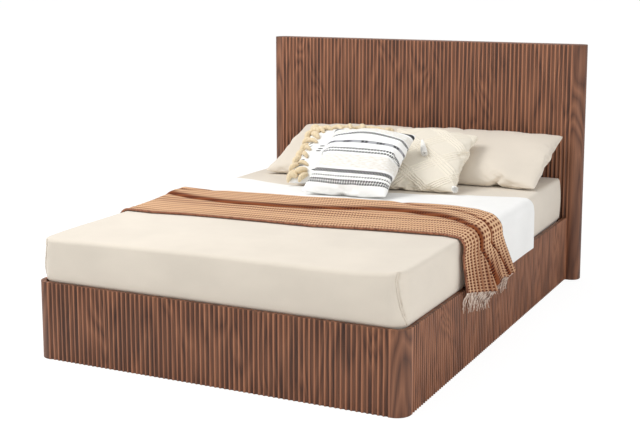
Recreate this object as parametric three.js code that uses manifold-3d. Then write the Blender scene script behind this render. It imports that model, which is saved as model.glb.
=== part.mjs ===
// Ottoman bed: a fluted timber storage base with a gas lifted platform, a fluted headboard and its bedding.
// Millimetres, +Z up. The origin is on the floor, in the middle of the bed's plan.
// +Y points to the headboard and +X to the right of someone who looks from the foot.
import * as THREE from 'three';
import { mergeVertices } from 'three/addons/utils/BufferGeometryUtils.js';
import Module from 'manifold-3d';

const wasm = await Module();
wasm.setup();

// Base walls
const baseWidth = 1540;
const bedLength = 2176;
const sideHeight = 306;
const wallThickness = 20;
const cornerRadius = 55;
const jointGap = 0.3;
const cornerSteps = 10;

// Flutes, shared by the walls and the headboard
const flutePitch = 20;
const ridgeWidth = 5;
const grooveDepth = 6.5;
const grooveSteps = 4;

// Headboard
const headboardWidth = 1660;
const headboardHeight = 1138;
const headboardThickness = 100;
const headboardSkin = 20;
const headboardPostWidth = 55;
const headboardCornerRadius = 45;
const backBoardThickness = 18;
const headboardRailHeight = 60;

// Storage floor and the parts fixed inside the base
const floorThickness = 12;
const floorBattenHeight = 18;
const floorBattenWidth = 44;
const floorBattenShare = 0.25;
const headWallThickness = 18;
const headWallHeight = 200;
const ledgeWidth = 50;
const ledgeThickness = 21.7;
const footLedgeWidth = 36;
const sideLedgeToPlate = 16;
const angleLeg = 40;
const angleThickness = 3;
const angleHeight = 120;
const angleStart = 50;

// Steel platform frame and slats
const platformBottom = 222;
const railSize = 30;
const railWall = 1.5;
const railInset = 36;
const railFootGap = 22;
const railHeadGap = 38;
const slatCount = 12;
const slatWidth = 68;
const slatThickness = 8;
const slatInset = 15;
const centreBeamWidth = 40;
const retainerWidth = 520;
const retainerHeight = 28;
const retainerThickness = 6;
const strapWidth = 30;
const strapThickness = 3;
const strapSpread = 90;
const strapDrop = 90;
const strapLap = 20;

// Lift mechanism, each place measured back from the headboard and up from the floor
const rearGround = { back: 613, up: 80 };
const rearTop = { back: 402, up: 238 };
const frontGround = { back: 877.63, up: 62 };
const frontTop = { back: 552, up: 217 };
const strutGround = { back: 241, up: 54 };
const strutTop = { back: 560.1, up: 164.1 };
const plateThickness = 4;
const linkThickness = 5;
const plateToLink = 2.7;
const linkToBar = 3;
const linkRadius = 16;
const strutLugRadius = 12;
const pinRadius = 6;
const pinClearance = 0.3;
const pinHeadRadius = 10;
const pinHeadThickness = 2.7;
const barOverhang = 50;
const barHeight = 42;
const barThickness = 5;
const plateMargin = 22;
const strutEyeRadius = 9;
const strutPinRadius = 4;
const strutEyeThickness = 10;
const strutRadius = 10;
const strutBore = 5;
const strutRodRadius = 4;
const strutTubeStart = 7;
const strutTubeLength = 225;
const strutRodStart = 90;
const strutBoreStart = 40;
const strutToLink = 8;
const roundSteps = 16;

// Mattress in its fitted sheet
const mattressTop = 502;
const mattressSeatGap = 0.3;
const mattressSideGap = 8;
const mattressFootGap = 29;
const mattressHeadGap = 14;
const mattressOverRim = 8;
const mattressFootOverRim = 8;
const mattressTopRound = 58;
const mattressCornerRadius = 62;
const mattressBottomRound = 20;
const mattressBulgeHeight = 350;
const mattressHeadClear = 3.2;
const mattressTaperFoot = 688;
const mattressCornerSteps = 6;
const mattressBottomShares = [0.25, 0.6, 1];
const mattressTopShares = [0, 0.35, 0.65, 0.85, 1];

// Cloths laid over the mattress
const clothWallClear = 0.6;
const clothSeatGap = 0.4;
const sheetThickness = 2.6;
const clothCornerRound = 66;
const clothArcSteps = 5;
const sheetHem = 281;
const sheetFootBack = 1458;
const sheetHeadBack = 703;
const sheetSideFlare = 135;
const throwThickness = 5;
const throwFold = 15;
const throwHem = 222;
const throwFootBack = 1550;
const throwHeadBack = 1054;
const throwFootFlare = 50;
const throwHeadFlare = 150;
const throwFolds = 3;
const throwSteps = 16;
const sheetSteps = 3;
const sheetSideSteps = 3;
const sheetTopSteps = 3;
const throwSideSteps = 6;
const throwTopSteps = 6;

// Pillows and cushions: size, tilt, turn, and the place of the middle across and back from the headboard
const pillowHeight = 462;
const pillowThickness = 150;
const pillowTilt = 30.5;
const pillowHeadGap = 29;
const pillowRight = { width: 728, middle: 376, turn: 0 };
const pillowLeft = { width: 632, middle: -312, turn: 0 };
const tuftedCushion = { width: 424, height: 448, thickness: 104, tilt: 26.8, turn: 8, middle: -190, back: 528 };
const diamondCushion = { width: 392, height: 440, thickness: 106, tilt: 28, turn: 3, middle: 222, back: 489 };
const stripedCushion = { width: 391, height: 452, thickness: 128, tilt: 30.5, turn: 5.5, middle: 8, back: 748 };
const cushionCells = 12;
const cushionPullShare = 0.05;
const crownShare = 0.42;
const diamondRelief = 5;
const diamondSharpness = 3;
const diamondRepeats = 3;
const cushionSeatGap = 0.4;

const halfWidth = baseWidth / 2;
const innerHalf = halfWidth - wallThickness;
const footFace = -bedLength / 2;
const footInner = footFace + wallThickness;
const headboardBack = bedLength / 2;
const headboardFront = headboardBack - headboardThickness;
const headHalf = headboardWidth / 2;
const innerRadius = cornerRadius - wallThickness;
const floorTop = floorBattenHeight + floorThickness;
const railTop = platformBottom + railSize;
const railOuter = innerHalf - railInset;
const railInner = railOuter - railSize;
const railFoot = footInner + railFootGap;
const railHead = headboardFront - railHeadGap;
const slatTop = railTop + jointGap + slatThickness;
const place = ({ back, up }) => [headboardFront - back, up];

const surface = (name, color, roughness, metalness = 0) => (
  new THREE.MeshStandardMaterial({ name, color, roughness, metalness }));
const walnut = surface('walnut', 0x7a5140, 0.5);
const board = surface('board', 0x6a4a3c, 0.6);
const plainWood = surface('plain wood', 0xc9a77c, 0.7);
const blackSteel = surface('black steel', 0x2b2b2d, 0.5, 0.8);
const zincSteel = surface('zinc steel', 0xa9adb2, 0.35, 0.9);
const cream = surface('cream cotton', 0xe8dccb, 0.95);
const white = surface('white cotton', 0xf3f2ef, 0.95);
const tan = surface('tan knit', 0xb98163, 0.95);
const webbing = surface('webbing', 0x3a3a3c, 0.9);

// Solids and booleans

function toSolid(geometry) {
  const bare = geometry.clone();
  bare.deleteAttribute('normal');
  bare.deleteAttribute('uv');
  const merged = mergeVertices(bare);
  const vertProperties = new Float32Array(merged.attributes.position.array);
  const triVerts = new Uint32Array(merged.index.array);
  return new wasm.Manifold(new wasm.Mesh({ numProp: 3, vertProperties, triVerts }));
}

function toGeometry(solid) {
  const mesh = solid.getMesh();
  const geometry = new THREE.BufferGeometry();
  geometry.setAttribute('position', new THREE.BufferAttribute(new Float32Array(mesh.vertProperties), 3));
  geometry.setIndex(new THREE.BufferAttribute(new Uint32Array(mesh.triVerts), 1));
  return geometry;
}

function join(...geometries) {
  const solids = geometries.map(toSolid);
  return toGeometry(solids.reduce((sum, next) => sum.add(next)));
}

function shapeOf(outline, holes = []) {
  const shape = new THREE.Shape(outline.map(([a, b]) => new THREE.Vector2(a, b)));
  for (const hole of holes) {
    shape.holes.push(new THREE.Path(hole.map(([a, b]) => new THREE.Vector2(a, b))));
  }
  return shape;
}

function prism(outline, holes, depth) {
  return new THREE.ExtrudeGeometry(shapeOf(outline, holes), { depth, bevelEnabled: false });
}

// An outline in X and Y, raised from low to high
function prismZ(outline, low, high, holes = []) {
  return prism(outline, holes, high - low).translate(0, 0, low);
}

// An outline in Y and Z, carried along X from low to high
function prismX(outline, low, high, holes = []) {
  const turn = new THREE.Matrix4().makeBasis(
    new THREE.Vector3(0, 1, 0), new THREE.Vector3(0, 0, 1), new THREE.Vector3(1, 0, 0));
  return prism(outline, holes, high - low).applyMatrix4(turn).translate(low, 0, 0);
}

// An outline in X and Z, carried along Y from low to high
function prismY(outline, low, high, holes = []) {
  return prism(outline, holes, high - low).rotateX(Math.PI / 2).translate(0, high, 0);
}

function block([x0, x1], [y0, y1], [z0, z1]) {
  const geometry = new THREE.BoxGeometry(x1 - x0, y1 - y0, z1 - z0);
  return geometry.translate((x0 + x1) / 2, (y0 + y1) / 2, (z0 + z1) / 2);
}

function circle([a, b], radius, steps = roundSteps) {
  const points = [];
  for (let i = 0; i < steps; i += 1) {
    const turn = (i / steps) * 2 * Math.PI;
    points.push([a + radius * Math.cos(turn), b + radius * Math.sin(turn)]);
  }
  return points;
}

function arc([a, b], radius, from, to, steps = cornerSteps) {
  const points = [];
  for (let i = 0; i <= steps; i += 1) {
    const turn = from + ((to - from) * i) / steps;
    points.push([a + radius * Math.cos(turn), b + radius * Math.sin(turn)]);
  }
  return points;
}

// The convex outline round a set of points
function hull(points) {
  const sorted = [...points].sort((p, q) => p[0] - q[0] || p[1] - q[1]);
  const cross = (o, p, q) => (p[0] - o[0]) * (q[1] - o[1]) - (p[1] - o[1]) * (q[0] - o[0]);
  const chain = (list) => {
    const kept = [];
    for (const point of list) {
      while (kept.length > 1 && cross(kept.at(-2), kept.at(-1), point) <= 0) {
        kept.pop();
      }
      kept.push(point);
    }
    return kept.slice(0, -1);
  };
  return [...chain(sorted), ...chain(sorted.reverse())];
}

const bed = new THREE.Group();

function piece(name, geometry, material) {
  const mesh = new THREE.Mesh(geometry, material);
  mesh.name = name;
  bed.add(mesh);
  return mesh;
}

// Fluted boards

// The fluted face as pairs of distance along the board and depth below the ridges
function flutedFace(length) {
  const count = Math.floor((length - ridgeWidth) / flutePitch);
  const margin = (length - count * flutePitch) / 2;
  const grooveWidth = flutePitch - ridgeWidth;
  const points = [[0, 0]];
  for (let flute = 0; flute < count; flute += 1) {
    const start = margin + flute * flutePitch + ridgeWidth / 2;
    for (let step = 0; step <= grooveSteps; step += 1) {
      const share = step / grooveSteps;
      points.push([start + share * grooveWidth, grooveDepth * Math.sin(Math.PI * share)]);
    }
  }
  points.push([length, 0]);
  return points;
}

function footPanel() {
  const length = baseWidth - 2 * cornerRadius - 2 * jointGap;
  const face = flutedFace(length).map(([along, depth]) => [along - length / 2, footFace + depth]);
  return prismZ([...face, [length / 2, footInner], [-length / 2, footInner]], 0, sideHeight);
}

function sidePanel(side) {
  const start = footFace + cornerRadius + jointGap;
  const length = headboardFront - jointGap - start;
  const face = flutedFace(length).map(([along, depth]) => [side * (halfWidth - depth), start + along]);
  const back = [[side * innerHalf, start + length], [side * innerHalf, start]];
  return prismZ([...face, ...back], 0, sideHeight);
}

function cornerPost(side) {
  const middle = [side * (halfWidth - cornerRadius), footFace + cornerRadius];
  const outside = side > 0 ? 0 : Math.PI;
  const outer = arc(middle, cornerRadius, -Math.PI / 2, side > 0 ? outside : -outside);
  const inner = arc(middle, innerRadius, side > 0 ? outside : -outside, -Math.PI / 2);
  return prismZ([...outer, ...inner], 0, sideHeight);
}

function headboardPanel() {
  const length = headboardWidth - 2 * headboardPostWidth - 2 * jointGap;
  const back = headboardFront + headboardSkin;
  const face = flutedFace(length).map(([along, depth]) => [along - length / 2, headboardFront + depth]);
  return prismZ([...face, [length / 2, back], [-length / 2, back]], 0, headboardHeight);
}

function headboardPost(side) {
  const radius = headboardCornerRadius;
  const outline = [
    [headHalf - headboardPostWidth, headboardFront],
    ...arc([headHalf - radius, headboardFront + radius], radius, -Math.PI / 2, 0),
    ...arc([headHalf - radius, headboardBack - radius], radius, 0, Math.PI / 2),
    [headHalf - headboardPostWidth, headboardBack],
  ];
  return prismZ(outline.map(([x, y]) => [side * x, y]), 0, headboardHeight);
}

piece('foot_panel', footPanel(), walnut);
piece('side_panel_left', sidePanel(-1), walnut);
piece('side_panel_right', sidePanel(1), walnut);
piece('corner_post_left', cornerPost(-1), walnut);
piece('corner_post_right', cornerPost(1), walnut);
piece('headboard_panel', headboardPanel(), walnut);
piece('headboard_post_left', headboardPost(-1), walnut);
piece('headboard_post_right', headboardPost(1), walnut);

const headInner = headHalf - headboardPostWidth - jointGap;
const backBoardFront = headboardBack - backBoardThickness;
const headRailDepth = [headboardFront + headboardSkin + jointGap, backBoardFront - jointGap];
piece('headboard_back',
  block([-headInner, headInner], [backBoardFront, headboardBack], [0, headboardHeight]), walnut);
const topRailHeight = [headboardHeight - headboardRailHeight, headboardHeight];
piece('headboard_top_rail', block([-headInner, headInner], headRailDepth, topRailHeight), walnut);
piece('headboard_bottom_rail', block([-headInner, headInner], headRailDepth, [0, headboardRailHeight]), board);

// Inside the base

const headWallBack = headboardFront - jointGap;
const headWallFront = headWallBack - headWallThickness;
const insideHalf = innerHalf - jointGap;
piece('head_end_wall',
  block([-insideHalf, insideHalf], [headWallFront, headWallBack], [0, headWallHeight]), board);

function floorBoard(side) {
  const foot = footInner + jointGap;
  const head = headWallFront - jointGap;
  const round = innerRadius;
  const outline = [
    [jointGap, foot],
    ...arc([insideHalf - round, foot + round], round, -Math.PI / 2, 0),
    [insideHalf, head],
    [jointGap, head],
  ];
  return prismZ(outline.map(([x, y]) => [side * x, y]), floorBattenHeight + jointGap, floorTop);
}

piece('storage_floor_left', floorBoard(-1), board);
piece('storage_floor_right', floorBoard(1), board);
const battenReach = (headWallFront - footInner) * floorBattenShare;
for (const [index, end] of [['foot', -1], ['head', 1]]) {
  const middle = (headWallFront + footInner) / 2 + end * battenReach;
  const depth = [middle - floorBattenWidth / 2, middle + floorBattenWidth / 2];
  piece(`floor_batten_${index}`, block([-insideHalf, insideHalf], depth, [0, floorBattenHeight]), plainWood);
}

const ledgeTop = platformBottom - jointGap;
const ledgeHeight = [ledgeTop - ledgeThickness, ledgeTop];
const footLedgeHalf = innerHalf - cornerRadius;
const footLedgeDepth = [footInner + jointGap, footInner + footLedgeWidth];
piece('foot_ledge', block([-footLedgeHalf, footLedgeHalf], footLedgeDepth, ledgeHeight), plainWood);
for (const [name, side] of [['left', -1], ['right', 1]]) {
  const across = [side * (innerHalf - ledgeWidth), side * insideHalf].sort((a, b) => a - b);
  const along = [footInner + footLedgeWidth + jointGap, place(frontGround)[0] - plateMargin - sideLedgeToPlate];
  piece(`side_ledge_${name}`, block(across, along, ledgeHeight), plainWood);
}

// Steel angles in the foot corners, bent round the inside of each corner post
function cornerAngle(side) {
  const middle = [innerHalf - innerRadius, footInner + innerRadius];
  const outer = innerRadius - jointGap;
  const inner = outer - angleThickness;
  const wallX = middle[0] + outer;
  const wallY = middle[1] - outer;
  const outline = [
    [middle[0] - angleLeg, wallY],
    ...arc(middle, outer, -Math.PI / 2, 0),
    [wallX, middle[1] + angleLeg],
    [wallX - angleThickness, middle[1] + angleLeg],
    ...arc(middle, inner, 0, -Math.PI / 2),
    [middle[0] - angleLeg, wallY + angleThickness],
  ];
  return prismZ(outline.map(([x, y]) => [side * x, y]), angleStart, angleStart + angleHeight);
}

piece('corner_angle_left', cornerAngle(-1), zincSteel);
piece('corner_angle_right', cornerAngle(1), zincSteel);

// Platform frame

function squareTube(half, wall) {
  const corner = (size) => [[-size, -size], [size, -size], [size, size], [-size, size]];
  return [corner(half), corner(half - wall)];
}

function tubeAlongY(middleX, from, to) {
  const [outer, inner] = squareTube(railSize / 2, railWall);
  return prismY(outer, from, to, [inner]).translate(middleX, 0, platformBottom + railSize / 2);
}

function tubeAlongX(middleY, from, to) {
  const [outer, inner] = squareTube(railSize / 2, railWall);
  return prismX(outer, from, to, [inner]).translate(0, middleY, platformBottom + railSize / 2);
}

const crossHalf = railInner - jointGap;
piece('platform_rail_left', tubeAlongY(-(railInner + railSize / 2), railFoot, railHead), blackSteel);
piece('platform_rail_right', tubeAlongY(railInner + railSize / 2, railFoot, railHead), blackSteel);
piece('platform_foot_rail', tubeAlongX(railFoot + railSize / 2, -crossHalf, crossHalf), blackSteel);
piece('platform_head_rail', tubeAlongX(railHead - railSize / 2, -crossHalf, crossHalf), blackSteel);
piece('platform_centre_beam',
  block([-centreBeamWidth / 2, centreBeamWidth / 2],
    [railFoot + railSize + jointGap, railHead - railSize - jointGap], [platformBottom, railTop]), plainWood);

const slatHalf = innerHalf - slatInset;
const slatStart = railFoot + retainerThickness + slatWidth;
const slatStep = (railHead - slatWidth / 2 - slatStart) / (slatCount - 1);
for (let index = 0; index < slatCount; index += 1) {
  const middle = slatStart + index * slatStep;
  const depth = [middle - slatWidth / 2, middle + slatWidth / 2];
  const label = String(index + 1).padStart(2, '0');
  piece(`slat_${label}`, block([-slatHalf, slatHalf], depth, [railTop + jointGap, slatTop]), plainWood);
}

// A flat steel upstand on the foot rail that keeps the mattress from sliding when the bed is open
function retainer() {
  const base = block([-retainerWidth / 2, retainerWidth / 2], [railFoot, railFoot + railSize],
    [railTop + jointGap, railTop + jointGap + angleThickness]);
  const stand = block([-retainerWidth / 2, retainerWidth / 2], [railFoot, railFoot + retainerThickness],
    [railTop + jointGap, railTop + jointGap + retainerHeight]);
  return join(base, stand);
}

piece('mattress_retainer', retainer(), blackSteel);

// The pull strap is fixed to the inner face of the foot rail and hangs in a loop below it
function pullStrap() {
  const top = platformBottom + strapLap;
  const radius = strapSpread / 2;
  const middle = [0, top - strapDrop + radius];
  const innerEnd = strapSpread - 2 * strapThickness;
  const outer = [[-strapSpread, top], ...arc(middle, radius, Math.PI, 2 * Math.PI), [strapSpread, top]];
  const innerArc = arc(middle, radius - strapThickness, 2 * Math.PI, Math.PI);
  const inner = [[innerEnd, top], ...innerArc, [-innerEnd, top]];
  const start = railFoot + railSize + jointGap;
  return prismY([...outer, ...inner], start, start + strapWidth);
}

piece('pull_strap', pullStrap(), webbing);

// Lift mechanism

const plateInner = innerHalf - jointGap - plateThickness;
const linkOuter = plateInner - plateToLink;
const linkInner = linkOuter - linkThickness;
const barOuter = linkInner - linkToBar;
const barInner = barOuter - barThickness;
const barTop = railTop - jointGap;
const strutMiddle = linkInner - strutToLink - strutEyeThickness / 2;

// Mirrors a geometry that is made for the right side
function onSide(geometry, side) {
  if (side > 0) {
    return geometry;
  }
  return toGeometry(toSolid(geometry).mirror([1, 0, 0]));
}

function pin(at, radius, low, high) {
  return prismX(circle(place(at), radius), low, high);
}

function groundPlate() {
  const corners = [frontGround, rearGround, strutGround].map(place);
  const outline = hull(corners.flatMap((at) => circle(at, plateMargin)));
  const reach = linkInner - jointGap - pinHeadThickness;
  return join(
    prismX(outline, plateInner, plateInner + plateThickness),
    pin(rearGround, pinRadius, reach, plateInner),
    pin(rearGround, pinHeadRadius, reach, linkInner - jointGap),
    pin(frontGround, pinRadius, reach, plateInner),
    pin(frontGround, pinHeadRadius, reach, linkInner - jointGap),
    pin(strutGround, strutPinRadius, strutMiddle - strutEyeThickness / 2, plateInner),
  );
}

function rearLink() {
  const outline = hull([
    ...circle(place(rearGround), linkRadius),
    ...circle(place(rearTop), linkRadius),
    ...circle(place(strutTop), strutLugRadius),
  ]);
  const holes = [rearGround, rearTop].map((at) => circle(place(at), pinRadius + pinClearance));
  return prismX(outline, linkInner, linkOuter, holes);
}

function frontLink() {
  const outline = hull([...circle(place(frontGround), linkRadius), ...circle(place(frontTop), linkRadius)]);
  const plate = prismX(outline, linkInner, linkOuter, [circle(place(frontGround), pinRadius + pinClearance)]);
  return join(
    plate,
    pin(frontTop, pinHeadRadius, barOuter + jointGap, linkInner),
    pin(frontTop, pinHeadRadius, linkOuter, linkOuter + pinHeadThickness),
  );
}

function liftBar() {
  const head = place(rearTop)[0] + barOverhang;
  const foot = place(frontTop)[0] - barOverhang;
  const outline = [
    [railOuter + jointGap, barTop],
    [railOuter + jointGap, barTop - barThickness],
    [barInner, barTop - barThickness],
    [barInner, barTop - barHeight],
    [barOuter, barTop - barHeight],
    [barOuter, barTop],
  ];
  return join(
    prismY(outline, foot, head),
    pin(rearTop, pinRadius, barOuter, linkOuter + jointGap),
    pin(rearTop, pinHeadRadius, linkOuter + jointGap, linkOuter + jointGap + pinHeadThickness),
  );
}

// Turns a shape made along +Z from the origin so that it runs along the strut
function alongStrut(geometry) {
  const [y0, z0] = place(strutGround);
  const [y1, z1] = place(strutTop);
  const tilt = Math.atan2(z1 - z0, y1 - y0);
  return geometry.rotateX(tilt - Math.PI / 2).translate(strutMiddle, y0, z0);
}

function strutLength() {
  const [y0, z0] = place(strutGround);
  const [y1, z1] = place(strutTop);
  return Math.hypot(y1 - y0, z1 - z0);
}

function revolve(profile) {
  const points = profile.map(([radius, height]) => new THREE.Vector2(radius, height));
  return new THREE.LatheGeometry(points, roundSteps).rotateX(Math.PI / 2);
}

function strutCylinder() {
  const end = strutTubeStart + strutTubeLength;
  const tube = alongStrut(revolve([
    [0, strutTubeStart], [strutRadius, strutTubeStart + strutBore], [strutRadius, end - strutBore / 2],
    [strutRadius - strutBore / 2, end], [strutBore, end], [strutBore, strutBoreStart], [0, strutBoreStart],
  ]));
  const half = strutEyeThickness / 2;
  const eye = prismX(circle(place(strutGround), strutEyeRadius), strutMiddle - half, strutMiddle + half);
  const holeRadius = strutPinRadius + pinClearance;
  const hole = pin(strutGround, holeRadius, strutMiddle - strutRadius, strutMiddle + strutRadius);
  return toGeometry(toSolid(tube).add(toSolid(eye)).subtract(toSolid(hole)));
}

function strutRod() {
  const rod = alongStrut(revolve([
    [0, strutRodStart], [strutRodRadius, strutRodStart], [strutRodRadius, strutLength()], [0, strutLength()],
  ]));
  const half = strutEyeThickness / 2;
  return join(
    rod,
    prismX(circle(place(strutTop), strutEyeRadius), strutMiddle - half, strutMiddle + half),
    pin(strutTop, strutPinRadius, strutMiddle, linkInner - jointGap),
  );
}

for (const [name, side] of [['left', -1], ['right', 1]]) {
  piece(`lift_plate_${name}`, onSide(groundPlate(), side), blackSteel);
  piece(`rear_link_${name}`, onSide(rearLink(), side), blackSteel);
  piece(`front_link_${name}`, onSide(frontLink(), side), blackSteel);
  piece(`lift_bar_${name}`, onSide(liftBar(), side), blackSteel);
  piece(`strut_cylinder_${name}`, onSide(strutCylinder(), side), blackSteel);
  piece(`strut_rod_${name}`, onSide(strutRod(), side), zincSteel);
}

// Mattress

const mattressBottom = slatTop + mattressSeatGap;
const mattressHead = headboardFront - mattressHeadGap;
const lowerHalf = innerHalf - mattressSideGap;
const lowerFoot = footInner + mattressFootGap;
const upperHalf = innerHalf + mattressOverRim;
const upperFoot = footInner - mattressFootOverRim;
const upperHeadHalf = innerHalf - mattressHeadClear;

// Skins a stack of rings that run anticlockwise, and closes it at both ends
function loft(rings) {
  const count = rings[0].length;
  const positions = rings.flat(2);
  const index = [];
  for (let level = 0; level < rings.length - 1; level += 1) {
    for (let i = 0; i < count; i += 1) {
      const a = level * count + i;
      const b = level * count + ((i + 1) % count);
      index.push(a, b, b + count, a, b + count, a + count);
    }
  }
  const top = (rings.length - 1) * count;
  for (let i = 1; i < count - 1; i += 1) {
    index.push(0, i + 1, i, top, top + i, top + i + 1);
  }
  const geometry = new THREE.BufferGeometry();
  geometry.setAttribute('position', new THREE.Float32BufferAttribute(positions, 3));
  geometry.setIndex(index);
  return geometry;
}

// One level of the mattress; it narrows towards the head, where the open bed dips between the side walls
function mattressRing(half, headHalf, foot, inset, z) {
  const radius = mattressCornerRadius;
  const steps = mattressCornerSteps;
  const x = half - inset - radius;
  const headX = headHalf - inset - radius;
  const y0 = foot + inset + radius;
  const y1 = mattressHead - inset - radius;
  const right = [
    ...arc([x, y0], radius, -Math.PI / 2, 0, steps),
    [half - inset, headboardFront - mattressTaperFoot],
    ...arc([headX, y1], radius, 0, Math.PI / 2, steps),
  ];
  const left = right.map(([a, b]) => [-a, b]).reverse();
  return [...right, ...left].map(([a, b]) => [a, b, z]);
}

function mattress() {
  const rings = [];
  const bottomArc = mattressBottomRound;
  for (const share of mattressBottomShares) {
    const rise = bottomArc * (1 - Math.cos((share * Math.PI) / 2));
    const inset = bottomArc * (1 - Math.sin((share * Math.PI) / 2));
    rings.push(mattressRing(lowerHalf, lowerHalf, lowerFoot, inset, mattressBottom + rise));
  }
  rings.push(mattressRing(upperHalf, upperHeadHalf, upperFoot, 0, mattressBulgeHeight));
  for (const share of mattressTopShares) {
    const turn = (share * Math.PI) / 2;
    const inset = mattressTopRound * (1 - Math.cos(turn));
    const z = mattressTop - mattressTopRound * (1 - Math.sin(turn));
    rings.push(mattressRing(upperHalf, upperHeadHalf, upperFoot, inset, z));
  }
  return loft(rings);
}

piece('mattress', mattress(), cream);

// Cloths that cross the bed and hang over both side walls

// The way over the bed, as a point, its outward direction and its share of the fall at the sides
function drapePath(inside, hem, sideSteps, topSteps) {
  const side = halfWidth + clothWallClear + inside;
  const top = mattressTop + clothSeatGap + inside;
  const round = clothCornerRound + inside;
  const half = [];
  for (let i = 0; i < sideSteps; i += 1) {
    const z = hem + ((top - round - hem) * i) / sideSteps;
    const fall = 1 - i / sideSteps / 2;
    half.push({ x: side, z, out: [1, 0], fall });
  }
  for (let i = 0; i <= clothArcSteps; i += 1) {
    const turn = (i / clothArcSteps) * (Math.PI / 2);
    const out = [Math.cos(turn), Math.sin(turn)];
    const fall = (1 - i / clothArcSteps) / 2;
    half.push({ x: side - round + round * out[0], z: top - round + round * out[1], out, fall });
  }
  for (let i = 1; i < topSteps; i += 1) {
    half.push({ x: (side - round) * (1 - i / topSteps), z: top, out: [0, 1], fall: 0 });
  }
  const middle = { x: 0, z: top, out: [0, 1], fall: 0 };
  const mirrored = half.map((p) => ({ ...p, x: -p.x, out: [-p.out[0], p.out[1]] })).reverse();
  return [...half, middle, ...mirrored];
}

// A cloth with thickness: rings run round its cross section at each step of the path
function drapedCloth(path, steps, span, rise) {
  const rings = path.map((at) => {
    const ring = [];
    const [foot, head] = span(at.fall);
    for (let i = 0; i <= steps; i += 1) {
      const share = i / steps;
      const lift = rise(share, at.fall, at.x);
      ring.push([at.x + at.out[0] * lift, foot + (head - foot) * share, at.z + at.out[1] * lift]);
    }
    for (let i = steps; i >= 0; i -= 1) {
      ring.push([at.x, foot + ((head - foot) * i) / steps, at.z]);
    }
    return ring;
  });
  return loft(rings);
}

const sheetSpan = (fall) => [
  headboardFront - sheetFootBack,
  headboardFront - sheetHeadBack + sheetSideFlare * fall,
];
const sheetPath = drapePath(0, sheetHem, sheetSideSteps, sheetTopSteps);
piece('flat_sheet', drapedCloth(sheetPath, sheetSteps, sheetSpan, () => sheetThickness), white);

const throwSpan = (fall) => [
  headboardFront - throwFootBack + throwFootFlare * fall,
  headboardFront - throwHeadBack + throwHeadFlare * fall,
];
const throwLift = (share, fall, x) => {
  const turn = 2 * Math.PI * throwFolds * share + x / baseWidth;
  const wave = (Math.sin(Math.PI * share) * (1 - Math.cos(turn))) / 2;
  return throwThickness + throwFold * wave;
};
const throwPath = drapePath(sheetThickness + clothSeatGap, throwHem, throwSideSteps, throwTopSteps);
piece('throw', drapedCloth(throwPath, throwSteps, throwSpan, throwLift), tan);

// Pillows and cushions

// A crowned form in its own frame: width on X, height on Y, thickness on Z, sides drawn in between the corners
function crownedForm(width, height, thickness, relief = () => 0) {
  const n = cushionCells;
  const positions = [];
  const front = [];
  const back = [];
  const index = [];
  const unit = (i) => -Math.cos((i / n) * Math.PI) * 0.5 + ((2 * i) / n - 1) * 0.5;
  for (let j = 0; j <= n; j += 1) {
    for (let i = 0; i <= n; i += 1) {
      const u = unit(i);
      const v = unit(j);
      const x = (width / 2) * u * (1 - cushionPullShare * (1 - v * v));
      const y = (height / 2) * v * (1 - cushionPullShare * (1 - u * u));
      const crown = Math.pow(Math.max(0, (1 - u * u) * (1 - v * v)), crownShare);
      const z = (thickness / 2) * crown;
      front.push(positions.length / 3);
      positions.push(x, y, z + relief(u, v) * crown);
      if (i === 0 || j === 0 || i === n || j === n) {
        back.push(front.at(-1));
      } else {
        back.push(positions.length / 3);
        positions.push(x, y, -z);
      }
    }
  }
  for (let j = 0; j < n; j += 1) {
    for (let i = 0; i < n; i += 1) {
      const a = j * (n + 1) + i;
      const [b, c, d] = [a + 1, a + n + 2, a + n + 1];
      index.push(front[a], front[b], front[c], front[a], front[c], front[d]);
      index.push(back[a], back[c], back[b], back[a], back[d], back[c]);
    }
  }
  const geometry = new THREE.BufferGeometry();
  geometry.setAttribute('position', new THREE.Float32BufferAttribute(positions, 3));
  geometry.setIndex(index);
  return geometry;
}

// Lays a form back by its tilt, turns it, and drops it until its lowest point meets the seat
function lean(geometry, { tilt, turn, middle, back }, seat) {
  geometry.rotateX(THREE.MathUtils.degToRad(tilt)).rotateZ(THREE.MathUtils.degToRad(turn));
  geometry.computeBoundingBox();
  return geometry.translate(middle, headboardFront - back, seat - geometry.boundingBox.min.z);
}

function pillow({ width, middle, turn }) {
  const form = crownedForm(width, pillowHeight, pillowThickness);
  const laid = lean(form, { tilt: pillowTilt, turn, middle, back: 0 }, mattressTop + cushionSeatGap);
  laid.computeBoundingBox();
  return laid.translate(0, headboardFront - pillowHeadGap - laid.boundingBox.max.y, 0);
}

// Raised ribs that cross in diamonds
function diamonds(u, v) {
  const along = (value) => Math.pow(Math.abs(Math.cos(Math.PI * diamondRepeats * value)), diamondSharpness);
  return diamondRelief * Math.max(along((u + v) / 2), along((u - v) / 2));
}

function cushion(size, seat, relief) {
  return lean(crownedForm(size.width, size.height, size.thickness, relief), size, seat + cushionSeatGap);
}

piece('pillow_left', pillow(pillowLeft), cream);
piece('pillow_right', pillow(pillowRight), cream);
const sheetTop = mattressTop + clothSeatGap + sheetThickness;
piece('cushion_tufted', cushion(tuftedCushion, sheetTop), white);
piece('cushion_diamond', cushion(diamondCushion, mattressTop, diamonds), cream);
piece('cushion_striped', cushion(stripedCushion, sheetTop), white);

export default bed;
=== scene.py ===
import math

import bmesh
import bpy
import numpy as np
from bpy.props import FloatProperty, FloatVectorProperty, IntProperty, PointerProperty
from mathutils import Matrix, Vector, noise


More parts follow.
